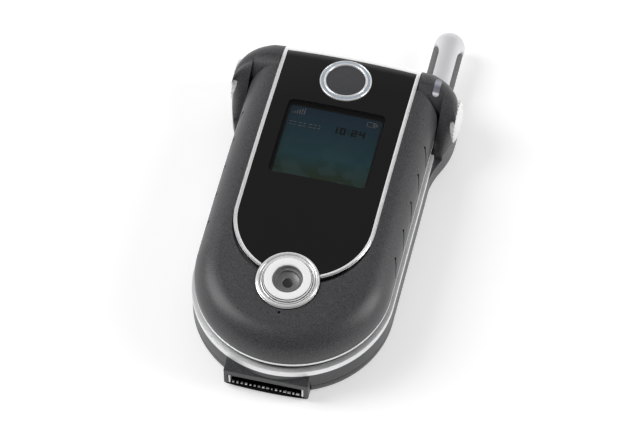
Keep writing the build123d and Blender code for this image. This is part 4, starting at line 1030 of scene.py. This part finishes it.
LINE_BARS = [(1.3 * index, up, width, 0.2) for index, width in enumerate((0.9, 0.5, 0.9, 0.4, 0.9, 0.7, 0.5))
             for up in (-2.7, -3.6)]
CLOCK_X = 13.4  # of the clock from the display's left edge
CLOCK_DROP = 3.9  # of the clock's foot under the signal bars'
CLOCK_FIGURES = ((0, "1"), (2.1, "0"), (5.1, "2"), (7.2, "4"))
CLOCK_SIZE = (1.5, 2.1, 0.46)  # width, height and stroke
CLOCK_DOTS = ((4.15, 0.4, 0.4, 0.4), (4.15, 1.3, 0.4, 0.4))
KEY_SIZE = (1.6, 2.6, 0.4)
KEY_SIGNS = (
    ("star_key", MARK_DARK, ((-0.2, -1.0, 0.4, 2.0), (-1.0, -0.2, 2.0, 0.4))),
    ("hash_key", MARK_DARK, ((-0.7, -1.1, 0.35, 2.2), (0.35, -1.1, 0.35, 2.2), (-1.1, 0.35, 2.2, 0.35),
                             (-1.1, -0.7, 2.2, 0.35))),
    ("send_key", MARK_GREEN, ((-2.0, -0.4, 4.0, 0.8),)),
    ("end_key", MARK_RED, ((-2.0, -0.4, 4.0, 0.8),)))


def figure_bars(figure, width, height, stroke):
    """Bars of a seven-bar figure from its lower left corner."""
    half = (height - stroke) / 2
    bars = {"a": (0, height - stroke, width, stroke), "b": (width - stroke, half, stroke, half + stroke),
            "c": (width - stroke, 0, stroke, half + stroke), "d": (0, 0, width, stroke),
            "e": (0, 0, stroke, half + stroke), "f": (0, half, stroke, half + stroke),
            "g": (0, half, width, stroke)}
    return [bars[name] for name in SEGMENTS[figure]]


def add_bars(build, bars, x, y, face):
    """Thin plates on a face, from bars round x and y."""
    for across, up, width, height in bars:
        left, foot = x + across * MM, y + up * MM
        box_mesh(build, (left, foot, face), (left + width * MM, foot + height * MM, face + MARK_THICKNESS))


def make_display_marks():
    """Plain signal bars, battery sign and clock of a generic idle screen."""
    left = DISPLAY_LOW.x + SIGNS_INSET[0] * MM
    top = DISPLAY_HIGH.y - SIGNS_INSET[1] * MM
    light = bmesh.new()
    add_bars(light, SIGNAL_BARS, left, top, DISPLAY_FACE)
    add_bars(light, BATTERY_BARS, DISPLAY_HIGH.x - BATTERY_INSET * MM, top, DISPLAY_FACE)
    add_bars(light, LINE_BARS, left, top, DISPLAY_FACE)
    new_piece("display_signs", light, "display_module", "flip", finish=MARK_LIGHT)
    clock = DISPLAY_LOW.x + CLOCK_X * MM
    foot = top - CLOCK_DROP * MM
    dark = bmesh.new()
    for across, figure in CLOCK_FIGURES:
        add_bars(dark, figure_bars(figure, *CLOCK_SIZE), clock + across * MM, foot, DISPLAY_FACE)
    add_bars(dark, CLOCK_DOTS, clock, foot, DISPLAY_FACE)
    new_piece("display_clock", dark, "display_module", "flip", finish=MARK_DARK)


def mark_key(name, key, finish, bars, corner=(0.0, 0.0)):
    """Mark on a key's face, its bars counted from the key's middle less a corner."""
    low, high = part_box(key)
    x = (low.x + high.x) / 2 - corner[0] * MM
    y = (low.y + high.y) / 2 - corner[1] * MM
    build = bmesh.new()
    add_bars(build, bars, x, y, high.z)
    new_piece(name, build, "silver_key", key + "_body", finish=finish)


def make_key_marks():
    """Plain figures on the number keys, signs on star and hash, coloured bars on send and end."""
    corner = (KEY_SIZE[0] / 2, KEY_SIZE[1] / 2)
    for figure in "0123456789":
        mark_key("mark_" + figure, "key_" + figure, MARK_DARK, figure_bars(figure, *KEY_SIZE), corner)
    for name, finish, bars in KEY_SIGNS:
        mark_key("mark_" + name, name, finish, bars)


# ---- camera, light and ground ----
CAMERA_TURN = math.radians(14.0)
CAMERA_DROP = math.radians(56.44)
CAMERA_ROLL = -0.01026
CAMERA_AIM = Vector((-0.36, 7.95, 0)) * MM
CAMERA_DISTANCE = 975.1 * MM
SENSOR_WIDTH = 36.0
IMAGE_WIDTH = 641
FOCAL_PIXELS = 3725.0
CLIP_START = 0.05
CLIP_END = 20.0


def make_camera():
    """Camera far away with a long lens."""
    data = bpy.data.cameras.new("camera")
    data.sensor_width = SENSOR_WIDTH
    data.sensor_fit = "HORIZONTAL"
    data.lens = FOCAL_PIXELS / IMAGE_WIDTH * SENSOR_WIDTH
    data.clip_start = CLIP_START
    data.clip_end = CLIP_END
    camera = add_object("camera", data)
    turn, drop = CAMERA_TURN, CAMERA_DROP
    ahead = Vector((-math.sin(turn) * math.cos(drop), math.cos(turn) * math.cos(drop), -math.sin(drop)))
    level = Vector((math.cos(turn), math.sin(turn), 0))
    upright = level.cross(ahead)
    right = level * math.cos(CAMERA_ROLL) + upright * math.sin(CAMERA_ROLL)
    up = upright * math.cos(CAMERA_ROLL) - level * math.sin(CAMERA_ROLL)
    turned = Matrix((right, up, -ahead)).transposed().to_4x4()
    camera.matrix_world = Matrix.Translation(CAMERA_AIM - ahead * CAMERA_DISTANCE) @ turned
    bpy.context.scene.camera = camera


LAMP_AIM = (0, 0, 0.01)


def area_lamp(name, place, size, power):
    """Softbox that faces the phone."""
    data = bpy.data.lights.new(name, "AREA")
    data.shape = "RECTANGLE"
    data.size, data.size_y = size
    data.energy = power
    direction = Vector(LAMP_AIM) - Vector(place)
    turn = direction.to_track_quat("-Z", "Y").to_matrix().to_4x4()
    add_object(name, data).matrix_world = Matrix.Translation(place) @ turn


WORLD_LEVEL = 0.85  # light from just over the horizon
WORLD_TOP = 0.20  # light from high up
WORLD_FRONT = 0.30  # share of it that comes from -Y
WHITE = (1, 1, 1, 1)


def make_world():
    """Studio light, strongest near the horizon; rays that the viewer sees meet plain white."""
    world = bpy.data.worlds.new("studio")
    world.use_nodes = True
    bpy.context.scene.world = world
    nodes = Nodes(world.node_tree)
    background = world.node_tree.nodes["Background"]
    at = nodes.split(nodes.add("ShaderNodeTexCoord").outputs["Generated"])
    height = nodes.ramp(at["Z"], 0.30, 0.72, WORLD_LEVEL, WORLD_TOP)
    front = nodes.ramp(at["Y"], -0.75, -0.1, WORLD_FRONT, 1.0)
    nodes.fill(background, Strength=nodes.times(height, front), Color=WHITE)
    path = nodes.add("ShaderNodeLightPath")
    seen = nodes.larger(path.outputs["Is Camera Ray"], path.outputs["Is Transmission Ray"])
    blend = nodes.add("ShaderNodeMixShader")
    nodes.put(blend.inputs[0], seen)
    nodes.put(blend.inputs[1], background.outputs[0])
    nodes.put(blend.inputs[2], nodes.out("ShaderNodeBackground", Color=WHITE))
    nodes.fill(world.node_tree.nodes["World Output"], Surface=blend.outputs[0])


FLOOR_HALF = 3.0
FLOOR_COLOUR = (0.78, 0.78, 0.78, 1)
FLOOR_GLOW = 0.42  # what seen rays add, so that the lit floor is just white


def make_floor():
    """Plain pale floor that keeps the phone's soft shadow."""
    half = FLOOR_HALF
    corners = [(-half, -half, 0), (half, -half, 0), (half, half, 0), (-half, half, 0)]
    mesh = bpy.data.meshes.new("floor")
    mesh.from_pydata(corners, [], [(0, 1, 2, 3)])
    floor = add_object("floor", mesh)
    paper, nodes, shader = material("pale_floor", 0.9)
    path = nodes.add("ShaderNodeLightPath")
    seen = nodes.larger(path.outputs["Is Camera Ray"], path.outputs["Is Glossy Ray"])
    seen = nodes.larger(seen, path.outputs["Is Transmission Ray"])
    nodes.fill(shader, Base_Color=FLOOR_COLOUR, Emission_Color=WHITE,
               Emission_Strength=nodes.times(seen, FLOOR_GLOW))
    mesh.materials.append(paper)


make_camera()
make_world()
make_floor()
area_lamp("left_softbox", place=(-0.75, -0.05, 0.75), size=(0.5, 0.8), power=7.0)
area_lamp("right_softbox", place=(0.85, 0.1, 0.45), size=(0.3, 0.7), power=4.0)
bpy.context.scene.view_settings.view_transform = "Standard"
dress_nodes()
make_window_frame()
make_camera_pieces()
make_badge_pieces()
make_aerial_pieces()
make_dock_pieces()
make_slot_inlays()
make_display_marks()
make_key_marks()
